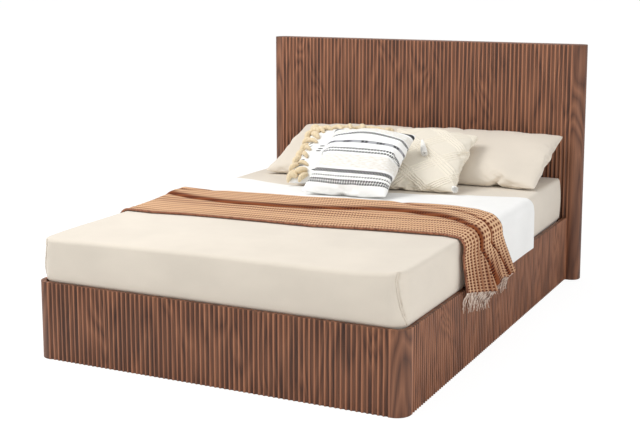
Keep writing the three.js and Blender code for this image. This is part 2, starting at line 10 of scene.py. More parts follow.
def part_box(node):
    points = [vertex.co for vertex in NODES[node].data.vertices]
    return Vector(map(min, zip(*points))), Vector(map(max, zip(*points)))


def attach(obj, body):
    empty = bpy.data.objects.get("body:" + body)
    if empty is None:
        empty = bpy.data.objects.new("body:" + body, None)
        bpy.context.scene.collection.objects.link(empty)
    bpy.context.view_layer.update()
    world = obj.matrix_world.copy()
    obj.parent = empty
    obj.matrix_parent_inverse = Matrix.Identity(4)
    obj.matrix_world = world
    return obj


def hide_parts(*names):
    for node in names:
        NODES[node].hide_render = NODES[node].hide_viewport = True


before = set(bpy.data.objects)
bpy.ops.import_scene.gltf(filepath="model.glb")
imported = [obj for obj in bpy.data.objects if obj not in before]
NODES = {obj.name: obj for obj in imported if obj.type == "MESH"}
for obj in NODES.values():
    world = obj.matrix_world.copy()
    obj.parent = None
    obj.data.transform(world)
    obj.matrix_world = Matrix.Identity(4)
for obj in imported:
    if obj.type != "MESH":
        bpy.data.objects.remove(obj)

bl_info = {
    "name": "Ottoman Bed",
    "version": (1, 0, 0),
    "blender": (4, 5, 0),
    "location": "3D View > Sidebar > Ottoman Bed",
    "description": "Dresses the frame of a fluted storage bed with its veneer, steel and bedding",
    "category": "Object",
}


def paint(red, green, blue):
    """A colour as a screen shows it, turned into the values that Blender works in"""
    shares = [value / 255 for value in (red, green, blue)]
    return [s / 12.92 if s <= 0.04045 else ((s + 0.055) / 1.055) ** 2.4 for s in shares]


def colour_property(name, description, screen_colour):
    return FloatVectorProperty(
        name=name, description=description, subtype="COLOR", size=3,
        min=0, max=1, default=paint(*screen_colour))


def number_property(name, description, value, **options):
    return FloatProperty(name=name, description=description, min=0, default=value, **options)


def length_property(name, description, metres):
    return number_property(name, description, metres, unit="LENGTH", precision=4)


# Sizes and colours that a user would change


class WoodSettings(bpy.types.PropertyGroup):
    """Sizes and colours of the fluted veneer boards"""

    flute_pitch: length_property("Flute pitch", "Distance from one flute to the next", 0.02)
    ridge_width: length_property("Ridge width", "Width of the flat ridge between two flutes", 0.005)
    flute_depth: length_property("Flute depth", "Depth of a flute below its ridges", 0.0055)
    edge_round: length_property("Edge rounding", "Rounding along the veneered edges", 0.0008)
    # Painted shade: how dark the veneer is painted at the bottom of a flute, where shade falls; the plain posts
    # take part of it as their own darker tone
    groove_painted_shade: number_property(
        "Groove shade", "Share of the veneer's colour left at the bottom of a flute", 0.55, max=1)
    # Painted highlight: how much paler the flat ridges are painted, where light falls on them
    ridge_painted_highlight: number_property("Ridge shade", "How much paler the ridges are than the light streaks", 1.35)
    dark: colour_property("Dark figure", "Colour of the dark heartwood figure", (76, 46, 35))
    middle: colour_property("Ground colour", "Main colour of the veneer", (138, 90, 65))
    light: colour_property("Light streaks", "Colour of the light orange streaks", (174, 119, 88))


class BeddingSettings(bpy.types.PropertyGroup):
    """Colours and softness of the bedding"""

    fitted: colour_property("Fitted sheet", "Colour of the fitted sheet and pillowcases", (229, 219, 204))
    flat: colour_property("Flat sheet", "Colour of the folded flat sheet", (252, 252, 250))
    throw: colour_property("Throw", "Colour of the knitted throw", (230, 188, 149))
    tuft: colour_property("Tufts", "Colour of the looped tufts", (240, 220, 184))
    stripe: colour_property("Stripes", "Colour of the dark woven stripes", (24, 25, 30))
    cream: colour_property("Cream cushion", "Colour of the cushion with raised diamonds", (236, 228, 212))
    fill_pressure: number_property("Fill pressure", "Pressure that swells pillows and cushions", 3.0)
    fill_frames: IntProperty(
        name="Fill frames", description="Frames of cloth simulation for each pillow and cushion",
        min=2, default=22)


class StageSettings(bpy.types.PropertyGroup):
    """Floor and light round the bed"""

    floor: colour_property("Floor", "Colour of the studio floor", (250, 250, 250))
    key: number_property("Key light", "Power of the large lamp above", 122, unit="POWER")
    side: number_property("Side light", "Power of the lamp at the right", 60, unit="POWER")
    fill: number_property("Fill light", "Strength of the light all round", 0.62)
    glow: number_property("Floor glow", "Brightness of the white floor as it is seen", 1.12)


# Places in metres, as the frame gives them

FOOT_LOW, FOOT_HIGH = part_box("foot_panel")
WALL_TOP, FOOT_FACE = FOOT_HIGH.z, FOOT_LOW.y
WALL = FOOT_HIGH.y - FOOT_FACE
SIDE_LOW, SIDE_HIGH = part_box("side_panel_right")
HALF_WIDTH = SIDE_HIGH.x
POST_REACH = HALF_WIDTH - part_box("corner_post_right")[0].x
HEAD_LOW, HEAD_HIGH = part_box("headboard_panel")
HEAD_FRONT = HEAD_LOW.y
MATTRESS_LOW, MATTRESS_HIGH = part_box("mattress")
MATTRESS_SIDE, MATTRESS_FOOT, MATTRESS_TOP = MATTRESS_HIGH.x, MATTRESS_LOW.y, MATTRESS_HIGH.z
SHEET_LOW, SHEET_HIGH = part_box("flat_sheet")
THROW_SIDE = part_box("throw")[1].x

SIDES = (("left", -1), ("right", 1))


# Sizes in metres and shares that follow the photo

SOFT_EDGE = 0.0008  # Rounding of the edges of boards and posts
POST_ROUND = 0.045  # Rounding of the headboard's outer corners
POST_TONE = 0.55  # Own darker tone of the plain posts, as a share of the painted shade at the bottom of a flute
MATTRESS_CORNER = 0.062  # Rounding of the mattress's foot corners, seen from above
MATTRESS_EDGE = 0.019  # Rounding along the mattress's top edge
KNIT_CELL = (0.0118, 0.038)  # One cell of the throw's knit, along it and across
KNIT_WIDTH = 0.56  # Width of the throw laid flat, which its pleats take up
THROW_BEND = 0.036  # Radius of the throw where it turns over the mattress's edge
THROW_HEM = 0.285  # Height of the throw's hem before the pleats draw it up
THROW_TOP = MATTRESS_TOP + 0.0034
FRINGE_STRANDS = 104
PILLOW_TOP = 0.7225  # Height of the pillows' upper edge
PILLOW_GAP = 0.029  # From the pillows' back to the headboard
SUNK = 0.004  # How deep pillows and cushions press into what they lie on
CUSHION_CELLS = (52, 54)
FILLING_CLOTH = {
    "quality": 6, "mass": 0.25, "tension_stiffness": 18, "compression_stiffness": 14, "shear_stiffness": 6,
    "bending_stiffness": 0.35, "air_damping": 2,
}


# Modelling helpers


def waver(*place):
    """Smooth noise from -1 to 1 at a place"""
    return noise.noise(Vector(place))


def limited(value):
    return min(1.0, max(0.0, value))


def bell(distance, width):
    """1 at no distance, and less over the width"""
    return math.exp(-((distance / width) ** 2))


def clear_selection():
    if bpy.context.mode != "OBJECT":
        bpy.ops.object.mode_set(mode="OBJECT")
    bpy.ops.object.select_all(action="DESELECT")


def take(obj):
    clear_selection()
    obj.select_set(True)
    bpy.context.view_layer.objects.active = obj


def add_block(name, low, high):
    """A cuboid between two corners"""
    clear_selection()
    bpy.ops.mesh.primitive_cube_add(size=1, location=[(a + b) / 2 for a, b in zip(low, high)])
    block = bpy.context.object
    block.name = name
    block.scale = [b - a for a, b in zip(low, high)]
    bpy.ops.object.transform_apply(location=True, rotation=True, scale=True)
    return block


def edit_with(obj, test, kind="EDGE"):
    """Opens obj for editing with the edges or faces selected that pass the test"""
    take(obj)
    bpy.ops.object.mode_set(mode="EDIT")
    bpy.ops.mesh.select_mode(type=kind)
    bpy.ops.mesh.select_all(action="DESELECT")
    mesh = bmesh.from_edit_mesh(obj.data)
    for part in mesh.edges if kind == "EDGE" else mesh.faces:
        if test(part):
            part.select_set(True)
    bmesh.update_edit_mesh(obj.data)


def apply_modifiers(obj):
    take(obj)
    for modifier in list(obj.modifiers):
        bpy.ops.object.modifier_apply(modifier=modifier.name)


def smooth(obj, degrees=35):
    take(obj)
    bpy.ops.object.shade_smooth_by_angle(angle=math.radians(degrees))


def round_edges(obj, width, segments=2, degrees=40):
    bevel = obj.modifiers.new("Edges", "BEVEL")
    bevel.width = width
    bevel.segments = segments
    bevel.limit_method = "ANGLE"
    bevel.angle_limit = math.radians(degrees)


def bake_place(obj):
    take(obj)
    bpy.ops.object.transform_apply(location=True, rotation=True, scale=True)


def set_material(obj, material):
    obj.data.materials.clear()
    obj.data.materials.append(material)


def place_piece(obj, body, slot, stands_for=(), finish=None):
    """Gives a piece its finish, by the slot's name unless a finish is given, and its body, and hides the nodes
    of the frame that it stands for
    """
    set_material(obj, material_named(finish or slot))
    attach(obj, body)
    if stands_for:
        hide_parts(*stands_for)


def mesh_object(name, points, faces, corners=None):
    """A mesh from points and faces, with a flat map of the cloth where its corners are given"""
    mesh = bpy.data.meshes.new(name)
    mesh.from_pydata([tuple(p) for p in points], [], faces)
    if corners is not None:
        layer = mesh.uv_layers.new(name="Cloth")
        spots = np.zeros(len(mesh.loops), np.int64)
        mesh.loops.foreach_get("vertex_index", spots)
        layer.data.foreach_set("uv", np.asarray(corners, np.float32)[spots].ravel())
    mesh.update()
    obj = bpy.data.objects.new(name, mesh)
    bpy.context.scene.collection.objects.link(obj)
    return obj


def mark_vertices(obj, label, values):
    """Gives each vertex a value that a material reads by its label"""
    mark = obj.data.attributes.new(label, "FLOAT", "POINT")
    mark.data.foreach_set("value", np.asarray(values, np.float32).ravel())


def vertex_values(obj, kind="co"):
    values = np.zeros(len(obj.data.vertices) * 3)
    obj.data.vertices.foreach_get(kind, values)
    return values.reshape(-1, 3)


def set_places(obj, places):
    obj.data.vertices.foreach_set("co", np.asarray(places, np.float32).ravel())
    obj.data.update()


def push_out(obj, distances):
    """Moves each vertex along its normal"""
    set_places(obj, vertex_values(obj) + vertex_values(obj, "normal") * distances[:, None])


def grid_faces(rows, columns, flip=False):
    faces = []
    for j in range(rows - 1):
        for i in range(columns - 1):
            a = j * columns + i
            face = (a, a + 1, a + columns + 1, a + columns)
            faces.append(face[::-1] if flip else face)
    return faces


def tube(name, route, radius, sides, taper=None):
    """A round tube along a route"""
    route = [Vector(p) for p in route]
    points, faces = [], []
    normal = Vector((0, 1, 0))
    for k, spot in enumerate(route):
        ahead = route[min(k + 1, len(route) - 1)] - route[max(k - 1, 0)]
        ahead.normalize()
        normal = (normal - ahead * normal.dot(ahead)).normalized()
        other = ahead.cross(normal)
        size = radius * (taper(k / (len(route) - 1)) if taper else 1)
        for i in range(sides):
            turn = i / sides * 2 * math.pi
            points.append(spot + (normal * math.cos(turn) + other * math.sin(turn)) * size)
    for k in range(len(route) - 1):
        for i in range(sides):
            n = (i + 1) % sides
            a, b = k * sides, (k + 1) * sides
            faces.append((a + i, a + n, b + n, b + i))
    faces.append(tuple(range(sides))[::-1])
    last = (len(route) - 1) * sides
    faces.append(tuple(range(last, last + sides)))
    made = mesh_object(name, points, faces)
    smooth(made, 60)
    return made


def join_pieces(name, pieces):
    clear_selection()
    for piece in pieces:
        piece.select_set(True)
    bpy.context.view_layer.objects.active = pieces[0]
    bpy.ops.object.join()
    joined = bpy.context.object
    joined.name = name
    return joined


# Material helpers


def add_node(tree, kind, inputs=None, **settings):
    made = tree.nodes.new(f"ShaderNode{kind}")
    for key, value in settings.items():
        setattr(made, key, value)
    for key, value in (inputs or {}).items():
        if isinstance(value, bpy.types.NodeSocket):
            tree.links.new(value, made.inputs[key])
        else:
            made.inputs[key].default_value = value
    return made


def with_alpha(colour):
    """A colour as a node takes it, or its socket as it is"""
    return colour if isinstance(colour, bpy.types.NodeSocket) else (*colour, 1)


def toned(colour, share):
    """A colour made darker or paler by a share"""
    return [min(1, c * share) for c in colour]


class Finish:
    """A material in the making, with short names for the nodes that it is made of"""

    def __init__(self, name, roughness, **inputs):
        self.material = bpy.data.materials.new(f"{name}_finish")
        self.material.use_nodes = True
        self.tree = self.material.node_tree
        self.shader = self.tree.nodes["Principled BSDF"]
        self.shader.inputs["Roughness"].default_value = roughness
        for key, value in inputs.items():
            self.shader.inputs[key.replace("_", " ")].default_value = value

    def node(self, kind, inputs=None, **settings):
        return add_node(self.tree, kind, inputs, **settings)

    def maths(self, operation, a, b=0.0, c=0.0):
        return self.node("Math", {0: a, 1: b, 2: c}, operation=operation).outputs[0]

    def times(self, a, b):
        return self.maths("MULTIPLY", a, b)

    def plus(self, a, b):
        return self.maths("ADD", a, b)

    def between(self, value, low, high):
        """1 where the value lies between low and high"""
        return self.maths("COMPARE", value, (low + high) / 2, (high - low) / 2)

    def dashes(self, value, pitch, share, offset=0.0):
        """1 along the share of each pitch that a dash covers"""
        turn = self.maths("FRACT", self.maths("MULTIPLY_ADD", value, 1 / pitch, offset))
        return self.maths("LESS_THAN", turn, share)

    def place(self, scale, source="Object"):
        spot = self.node("TexCoord").outputs[source]
        return self.node("Mapping", {"Vector": spot, "Scale": scale}).outputs[0]

    def cloth_place(self, scale=(1, 1, 1)):
        return self.place(scale, "UV")

    def noise(self, place, detail=3.0, rough=0.6):
        return self.node(
            "TexNoise", {"Vector": place, "Scale": 1.0, "Detail": detail, "Roughness": rough}).outputs[0]

    def mark(self, label):
        """The value that mark_vertices gave each vertex"""
        return self.node("Attribute", attribute_name=label).outputs["Fac"]

    def ramp(self, share, *stops):
        made = self.node("ValToRGB", {0: share})
        keys = made.color_ramp.elements
        while len(keys) < len(stops):
            keys.new(0.5)
        for key, (at, colour) in zip(keys, stops):
            key.position = at
            key.color = with_alpha(colour if hasattr(colour, "__len__") else [colour] * 3)
        return made.outputs[0]

    def mix(self, share, a, b, how="MIX"):
        return self.node(
            "Mix", {0: share, 6: with_alpha(a), 7: with_alpha(b)}, data_type="RGBA", blend_type=how).outputs[2]

    def multiply(self, a, b):
        return self.mix(1.0, a, b, "MULTIPLY")

    def link(self, socket, entry="Base Color"):
        self.tree.links.new(socket, self.shader.inputs[entry])

    def bump(self, height, distance, strength):
        made = self.node("Bump", {"Height": height, "Distance": distance, "Strength": strength})
        self.link(made.outputs[0], "Normal")


# Materials


def walnut_veneer(wood):
    """Satin walnut with upright cathedral figure, with painted shade deep in the flutes and a painted highlight
    on the ridges
    """
    f = Finish("walnut_veneer", 0.5, Specular_IOR_Level=0.42)
    wander = f.noise(f.place((6.0, 6.0, 1.8)), 1.0, 0.5)
    shifted = f.node("VectorMath", {0: f.place((9.0, 9.0, 1.0)), 1: wander}, operation="ADD").outputs[0]
    figure = f.noise(shifted, 1.0, 0.4)
    bands = f.maths("PINGPONG", f.times(figure, 24.0), 1.0)
    fibre = f.noise(f.place((330, 330, 6)))
    streak = f.noise(f.place((95, 95, 2.2)))
    patch = f.noise(f.place((15.0, 15.0, 2.3)), 2.0, 0.5)
    tone = f.plus(f.times(bands, 0.42), f.times(streak, 0.60))
    ground = f.ramp(tone, (0.14, wood.dark), (0.47, wood.middle), (0.86, wood.light))
    heart = f.times(f.ramp(patch, (0.52, 0.0), (0.70, 0.85)), f.ramp(streak, (0.35, 1.0), (0.62, 0.35)))
    colour = f.mix(heart, ground, wood.dark)
    colour = f.multiply(colour, f.ramp(fibre, (0.30, 0.78), (0.55, 1.0)))
    # Painted shade in the flutes, by the groove mark; on the plain posts the same mark gives their own darker
    # tone
    colour = f.multiply(colour, f.ramp(f.mark("groove"), (0.0, 1.0), (1.0, wood.groove_painted_shade)))
    # Painted highlight on the flat ridges, by the ridge mark
    f.link(f.mix(f.times(f.mark("ridge"), 0.34), colour, toned(wood.light, wood.ridge_painted_highlight)))
    f.link(f.ramp(streak, (0.3, 0.44), (0.7, 0.58)), "Roughness")
    f.bump(fibre, 0.00025, 0.6)
    return f.material


def plain_board(name, base, dark, scale, roughness):
    """Sawn or sanded timber whose grain runs along its smallest scale"""
    f = Finish(name, roughness)
    grain = f.noise(f.place(scale), 4.0)
    f.link(f.ramp(grain, (0.3, dark), (0.65, base)))
    f.bump(grain, 0.0003, 0.5)
    return f.material


def coated_steel(name, colour, roughness, metallic, grain):
    """Powder coat or zinc with a fine uneven surface"""
    f = Finish(name, roughness, Metallic=metallic)
    speck = f.noise(f.place((grain, grain, grain)))
    f.link(f.ramp(speck, (0.35, toned(colour, 0.8)), (0.65, colour)))
    f.link(f.ramp(speck, (0.3, roughness * 0.85), (0.7, min(1, roughness * 1.15))), "Roughness")
    f.bump(speck, 0.0001, 0.5)
    return f.material


def cotton(name, colour, crease):
    """Plain woven cotton with faint creases and an uneven tone"""
    f = Finish(name, 0.85, Sheen_Weight=0.25, Specular_IOR_Level=0.2)
    soft = f.noise(f.place((4.5, 4.5, 7.0)), 3.0, 0.5)
    weave = f.noise(f.place((900, 900, 900)), 2.0)
    tone = f.mix(f.ramp(soft, (0.35, 0.0), (0.7, 1.0)), toned(colour, 0.93), colour)
    f.link(f.multiply(tone, f.ramp(weave, (0.3, 0.965), (0.6, 1.0))))
    f.bump(f.plus(soft, f.times(weave, 0.02)), crease, 0.35)
    return f.material


def waffle_knit(colour):
    """Open waffle weave with painted shade in the hollow of each cell, and painted shade along its folds and
    hanging end
    """
    f = Finish("throw_knit", 0.95, Sheen_Weight=0.08, Specular_IOR_Level=0.03)
    along = f.node("SeparateXYZ", {0: f.cloth_place()}).outputs
    turns = [f.times(along[axis], 2 * math.pi / size) for axis, size in enumerate(KNIT_CELL)]
    waves = [f.maths("MULTIPLY_ADD", f.maths("SINE", turn), 0.5, 0.5) for turn in turns]
    hole = f.times(*waves)
    fluff = f.noise(f.cloth_place((420, 420, 1)))
    # Painted shade in each cell's hollow, warm brown where the cell is deepest
    shade = f.ramp(hole, (0.14, 1.0), (0.42, paint(172, 132, 108)), (0.78, paint(122, 72, 46)))
    woven = f.multiply(f.ramp(fluff, (0.3, toned(colour, 0.82)), (0.7, toned(colour, 1.12))), shade)
    # Painted shade on the fold risers and the hanging end, from the cloth's hollow mark
    deep = f.ramp(f.mark("hollow"), (0.15, 1.0), (0.9, paint(148, 102, 78)))
    f.link(f.multiply(woven, deep))
    f.bump(f.maths("SUBTRACT", f.times(fluff, 0.25), hole), 0.004, 0.8)
    return f.material


def twisted_yarn(name, colour, pale):
    """Twisted yarn for the rolled hem, the fringe, the tufts, the tassels and the webbing"""
    f = Finish(name, 0.95, Sheen_Weight=0.3, Specular_IOR_Level=0.1)
    f.link(f.ramp(f.noise(f.place((160, 160, 20))), (0.35, colour), (0.62, pale)))
    f.bump(f.noise(f.place((700, 700, 700)), 2.0, 0.5), 0.001, 0.7)
    return f.material


def striped_cotton(white, dark):
    """White cotton with woven dark rows and raised natural bands"""
    f = Finish("cushion_striped", 0.9, Sheen_Weight=0.2, Specular_IOR_Level=0.15)
    across, up = f.node("SeparateXYZ", {0: f.cloth_place()}).outputs[:2]
    diagonal = f.plus(across, f.times(up, 1.2))
    rows = [
        (0.915, 0.957, None),
        (0.760, 0.792, f.dashes(diagonal, 0.030, 0.76)),
        (0.522, 0.546, f.dashes(across, 0.028, 0.70)),
        (0.483, 0.507, f.dashes(across, 0.028, 0.70, 0.4)),
        (0.232, 0.272, f.dashes(diagonal, 0.030, 0.82)),
        (0.184, 0.202, f.dashes(across, 0.028, 0.52)),
        (0.136, 0.161, f.dashes(across, 0.027, 0.74)),
        (0.106, 0.131, f.dashes(across, 0.027, 0.74)),
        (0.622, 0.654, f.times(f.dashes(across, 0.16, 0.45), f.dashes(across, 0.035, 0.72))),
    ]
    inked = 0.0
    for low, high, pattern in rows:
        row = f.between(up, low, high)
        inked = f.maths("MAXIMUM", inked, row if pattern is None else f.times(row, pattern))
    natural = f.maths("MAXIMUM", f.between(up, 0.300, 0.455), f.between(up, 0.805, 0.890))
    slub = f.noise(f.cloth_place((22, 190, 1)))
    weave = f.noise(f.cloth_place((330, 330, 1)), 2.0)
    colour = f.mix(natural, white, f.ramp(slub, (0.38, paint(226, 220, 208)), (0.62, white)))
    colour = f.mix(f.between(up, 0.618, 0.658), colour, paint(168, 169, 173))
    f.link(f.mix(f.times(inked, 0.97), colour, dark))
    height = f.plus(f.times(inked, 0.5), f.times(weave, 0.4))
    f.bump(f.plus(height, f.times(f.times(natural, slub), 1.3)), 0.0016, 0.7)
    return f.material


def raised_diamonds(colour):
    """Cream cotton whose raised double ribs cross in diamonds"""
    f = Finish("cushion_cream", 0.9, Sheen_Weight=0.25, Specular_IOR_Level=0.15)
    ribs = f.mark("rib")
    weave = f.noise(f.cloth_place((260, 260, 1)))
    tone = f.ramp(weave, (0.3, toned(colour, 0.90)), (0.6, colour))
    f.link(f.mix(ribs, tone, toned(colour, 1.05)))
    f.bump(f.plus(ribs, f.times(weave, 0.5)), 0.002, 0.6)
    return f.material


def fleck_cotton(white, dark):
    """White cotton with a few short dark stitches"""
    f = Finish("cushion_tufted", 0.9, Sheen_Weight=0.25, Specular_IOR_Level=0.15)
    cells = f.node("TexVoronoi", {
        "Vector": f.cloth_place((7, 24, 1)), "Scale": 1.0, "Randomness": 0.9}, voronoi_dimensions="2D").outputs
    lot = f.node("SeparateColor", {0: cells["Color"]}).outputs[0]
    stitch = f.times(f.maths("LESS_THAN", cells["Distance"], 0.19), f.maths("LESS_THAN", lot, 0.36))
    weave = f.noise(f.cloth_place((300, 300, 1)))
    f.link(f.mix(stitch, f.ramp(weave, (0.3, toned(white, 0.92)), (0.6, white)), dark))
    f.bump(weave, 0.0012, 0.6)
    return f.material


FINISHES = {}


def material_named(name):
    """Makes each material once"""
    if name not in FINISHES:
        FINISHES[name] = make_material(name)
    return FINISHES[name]


def make_material(name):
    wood, bedding = bpy.context.scene.bed_wood, bpy.context.scene.bed_bedding
    white, fitted, stripe = bedding.flat, bedding.fitted, bedding.stripe
    boards = {
        "lining_board": (paint(112, 78, 62), paint(88, 60, 48), (40, 6, 40), 0.6),
        "softwood": (paint(214, 182, 138), paint(190, 150, 104), (60, 5, 60), 0.7),
        "slat_birch": (paint(226, 200, 160), paint(205, 172, 128), (5, 70, 70), 0.45),
    }
    steels = {
        "black_steel": (paint(44, 44, 46), 0.45, 0.0, 900),
        "zinc_steel": (paint(190, 192, 196), 0.32, 1.0, 300),
    }
    cottons = {"fitted_sheet": (fitted, 0.006), "flat_sheet": (white, 0.003), "pillowcase": (fitted, 0.004)}
    yarns = {
        "webbing": (paint(40, 40, 43), paint(66, 66, 70)),
        "throw_hem": (paint(104, 62, 44), paint(176, 118, 88)),
        "throw_fringe": (paint(150, 104, 78), paint(252, 238, 224)),
        "tuft_yarn": (toned(bedding.tuft, 0.8), bedding.tuft),
        "tassel_yarn": (paint(246, 243, 236), paint(255, 254, 252)),
    }
    makers = ((plain_board, boards), (coated_steel, steels), (cotton, cottons), (twisted_yarn, yarns))
    for make, kinds in makers:
        if name in kinds:
            return make(name, *kinds[name])
    return {
        "walnut_veneer": lambda: walnut_veneer(wood),
        "throw_knit": lambda: waffle_knit(bedding.throw),
        "cushion_striped": lambda: striped_cotton(white, stripe),
        "cushion_cream": lambda: raised_diamonds(bedding.cream),
        "cushion_tufted": lambda: fleck_cotton(white, stripe),
    }[name]()


# Fluted boards and posts


def fluted_board(name, length, height, thickness, wood):
    """A board on its edge with its fluted face towards -Y, milled flute by flute"""
    board = add_block(name, (-length / 2, 0, 0), (length / 2, thickness, height))
    half_groove = (wood.flute_pitch - wood.ridge_width) / 2
    depth = wood.flute_depth
    radius = (half_groove ** 2 + depth ** 2) / (2 * depth)
    count = int((length - wood.ridge_width) / wood.flute_pitch)
    first = -count * wood.flute_pitch / 2 + wood.flute_pitch / 2
    clear_selection()
    bpy.ops.mesh.primitive_cylinder_add(
        vertices=40, radius=radius, depth=height + 2 * thickness, end_fill_type="NGON",
        location=(first, depth - radius, height / 2))
    cutter = bpy.context.object
    bake_place(cutter)
    row = cutter.modifiers.new("Row", "ARRAY")
    row.count = count
    row.use_relative_offset = False
    row.use_constant_offset = True
    row.constant_offset_displace = (wood.flute_pitch, 0, 0)
    apply_modifiers(cutter)
    mill = board.modifiers.new("Flutes", "BOOLEAN")
    mill.object = cutter
    mill.operation = "DIFFERENCE"
    mill.solver = "EXACT"
    apply_modifiers(board)
    bpy.data.objects.remove(cutter, do_unlink=True)
    round_edges(board, wood.edge_round, 2, 45)
    apply_modifiers(board)
    smooth(board, 32)
    # Marks for painted light: groove for painted shade deep in each flute, ridge for a painted highlight on the
    # flat ridges
    behind_face = vertex_values(board)[:, 1]
    mark_vertices(board, "groove", np.clip(behind_face / depth, 0, 1) * (behind_face < depth + wood.edge_round))
    mark_vertices(board, "ridge", np.clip(1 - behind_face / (depth * 0.2), 0, 1))
    return board


class BED_OT_fluted_boards(bpy.types.Operator):
    """Makes the fluted foot board, side boards and headboard panel"""

    bl_idname = "bed.fluted_boards"
    bl_label = "Fluted Boards"

    def execute(self, context):
        middle = (SIDE_LOW.y + SIDE_HIGH.y) / 2
        base = (WALL_TOP, WALL)
        boards = [("foot_board", "foot_panel", (FOOT_HIGH.x - FOOT_LOW.x, *base), 0, (0, FOOT_FACE, 0))]
        for name, side in SIDES:
            boards.append((
                f"side_board_{name}", f"side_panel_{name}", (SIDE_HIGH.y - SIDE_LOW.y, *base),
                side * math.pi / 2, (side * HALF_WIDTH, middle, 0)))
        head_size = (HEAD_HIGH.x - HEAD_LOW.x, HEAD_HIGH.z, HEAD_HIGH.y - HEAD_LOW.y)
        boards.append(("headboard_front", "headboard_panel", head_size, 0, (0, HEAD_FRONT, 0)))
        for name, node, size, turn, place in boards:
            board = fluted_board(name, *size, context.scene.bed_wood)
            board.rotation_euler.z = turn
            board.location = place
            bake_place(board)
            place_piece(board, "root", "walnut_veneer", [node])
        return {"FINISHED"}


def finish_post(post, node):
    """Softens a post's edges and marks it with its tone"""
    round_edges(post, SOFT_EDGE)
    apply_modifiers(post)
    mark_vertices(post, "groove", [POST_TONE] * len(post.data.vertices))
    smooth(post)
    place_piece(post, "root", "walnut_veneer", [node])


def corner_post(name, side):
    """A quarter round, spun from the end of the foot board to the end of the side board"""
    middle_x = side * (HALF_WIDTH - POST_REACH)
    clear_selection()
    bpy.ops.mesh.primitive_plane_add(
        size=1, location=(middle_x, FOOT_FACE + WALL / 2, WALL_TOP / 2), rotation=(0, math.pi / 2, 0))
    post = bpy.context.object
    post.name = f"foot_corner_{name}"
    post.scale = (WALL_TOP, WALL, 1)
    bake_place(post)
    edit_with(post, lambda face: True, "FACE")
    bpy.ops.mesh.spin(
        steps=18, angle=-side * math.pi / 2, center=(middle_x, FOOT_FACE + POST_REACH, 0), axis=(0, 0, 1))
    bpy.ops.mesh.select_all(action="SELECT")
    bpy.ops.mesh.remove_doubles(threshold=0.00001)
    bpy.ops.mesh.normals_make_consistent(inside=False)
    bpy.ops.object.mode_set(mode="OBJECT")
    finish_post(post, f"corner_post_{name}")


def headboard_post(name):
    """A solid edge post with both outer corners rounded"""
    low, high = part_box(f"headboard_post_{name}")
    post = add_block(f"headboard_edge_{name}", low, high)
    outer = high.x if high.x > 0 else low.x
    edit_with(post, lambda edge: all(abs(v.co.x - outer) < 1e-5 for v in edge.verts)
              and abs(edge.verts[0].co.z - edge.verts[1].co.z) > 0.5)
    bpy.ops.mesh.bevel(offset=POST_ROUND, segments=14, affect="EDGES")
    bpy.ops.object.mode_set(mode="OBJECT")
    finish_post(post, f"headboard_post_{name}")


class BED_OT_posts(bpy.types.Operator):
    """Makes the rounded foot corner posts and the headboard's edge posts"""

    bl_idname = "bed.posts"
    bl_label = "Posts"

    def execute(self, context):
        for name, side in SIDES:
            corner_post(name, side)
            headboard_post(name)
        return {"FINISHED"}


# Parts that stay as the frame has them, with their finish and softened edges


def dress_nodes(material, edge, *nodes):
    """Gives parts of the frame their finish, and rounds their edges"""
    for node in nodes:
        part = NODES[node]
        set_material(part, material_named(material))
        weld = part.modifiers.new("Weld", "WELD")
        weld.merge_threshold = 0.00002
        round_edges(part, edge, 2, 50)


class BED_OT_base_inside(bpy.types.Operator):
    """Finishes the boards, ledges, battens and angles inside the base"""

    bl_idname = "bed.base_inside"
    bl_label = "Base Inside"

    def execute(self, context):
        dress_nodes("walnut_veneer", SOFT_EDGE, "headboard_back", "headboard_top_rail")
        dress_nodes("lining_board", SOFT_EDGE, "headboard_bottom_rail", "head_end_wall",
                    "storage_floor_left", "storage_floor_right")
        dress_nodes("softwood", 0.0015, "floor_batten_foot", "floor_batten_head",
                    "foot_ledge", "side_ledge_left", "side_ledge_right")
        dress_nodes("zinc_steel", 0.0004, "corner_angle_left", "corner_angle_right")
        return {"FINISHED"}


class BED_OT_platform(bpy.types.Operator):
    """Finishes the steel platform frame, its beam, slats and pull strap"""

    bl_idname = "bed.platform"
    bl_label = "Platform"

    def execute(self, context):
        dress_nodes("black_steel", 0.0012, "platform_rail_left", "platform_rail_right",
                    "platform_foot_rail", "platform_head_rail", "mattress_retainer")
        dress_nodes("softwood", 0.002, "platform_centre_beam")
        dress_nodes("slat_birch", 0.0025, *[node for node in NODES if node.startswith("slat_")])
        dress_nodes("webbing", 0.0004, "pull_strap")
        return {"FINISHED"}


class BED_OT_lift(bpy.types.Operator):
    """Finishes the lift arms, plates, bars and gas struts"""

    bl_idname = "bed.lift"
    bl_label = "Lift Mechanism"

    def execute(self, context):
        for name, _ in SIDES:
            parts = ("lift_plate", "lift_bar", "rear_link", "front_link", "strut_cylinder")
            dress_nodes("black_steel", 0.0005, *[f"{part}_{name}" for part in parts])
            dress_nodes("zinc_steel", 0.0004, f"strut_rod_{name}")
        return {"FINISHED"}


# Mattress


def settled(x, y, z):
    """How far the used bedding has sunk: towards the left edge and the foot, less at the near corner"""
    left = 0.024 * np.clip((0.25 - x) / 1.0, 0, 1) ** 1.5
    near_corner = np.exp(-(((0.758 - x) / 0.12) ** 2))
    foot = 0.018 * np.clip((-0.72 - y) / 0.35, 0, 1) ** 2 * (1 - near_corner)
    above_walls = np.clip((z - 0.36) / 0.142, 0, 1)
    return np.hypot(left, foot) * above_walls


def settle(obj):
    """Lets a finished piece of bedding sink with the mattress"""
    places = vertex_values(obj)
    places[:, 2] -= settled(*places.T)
    set_places(obj, places)


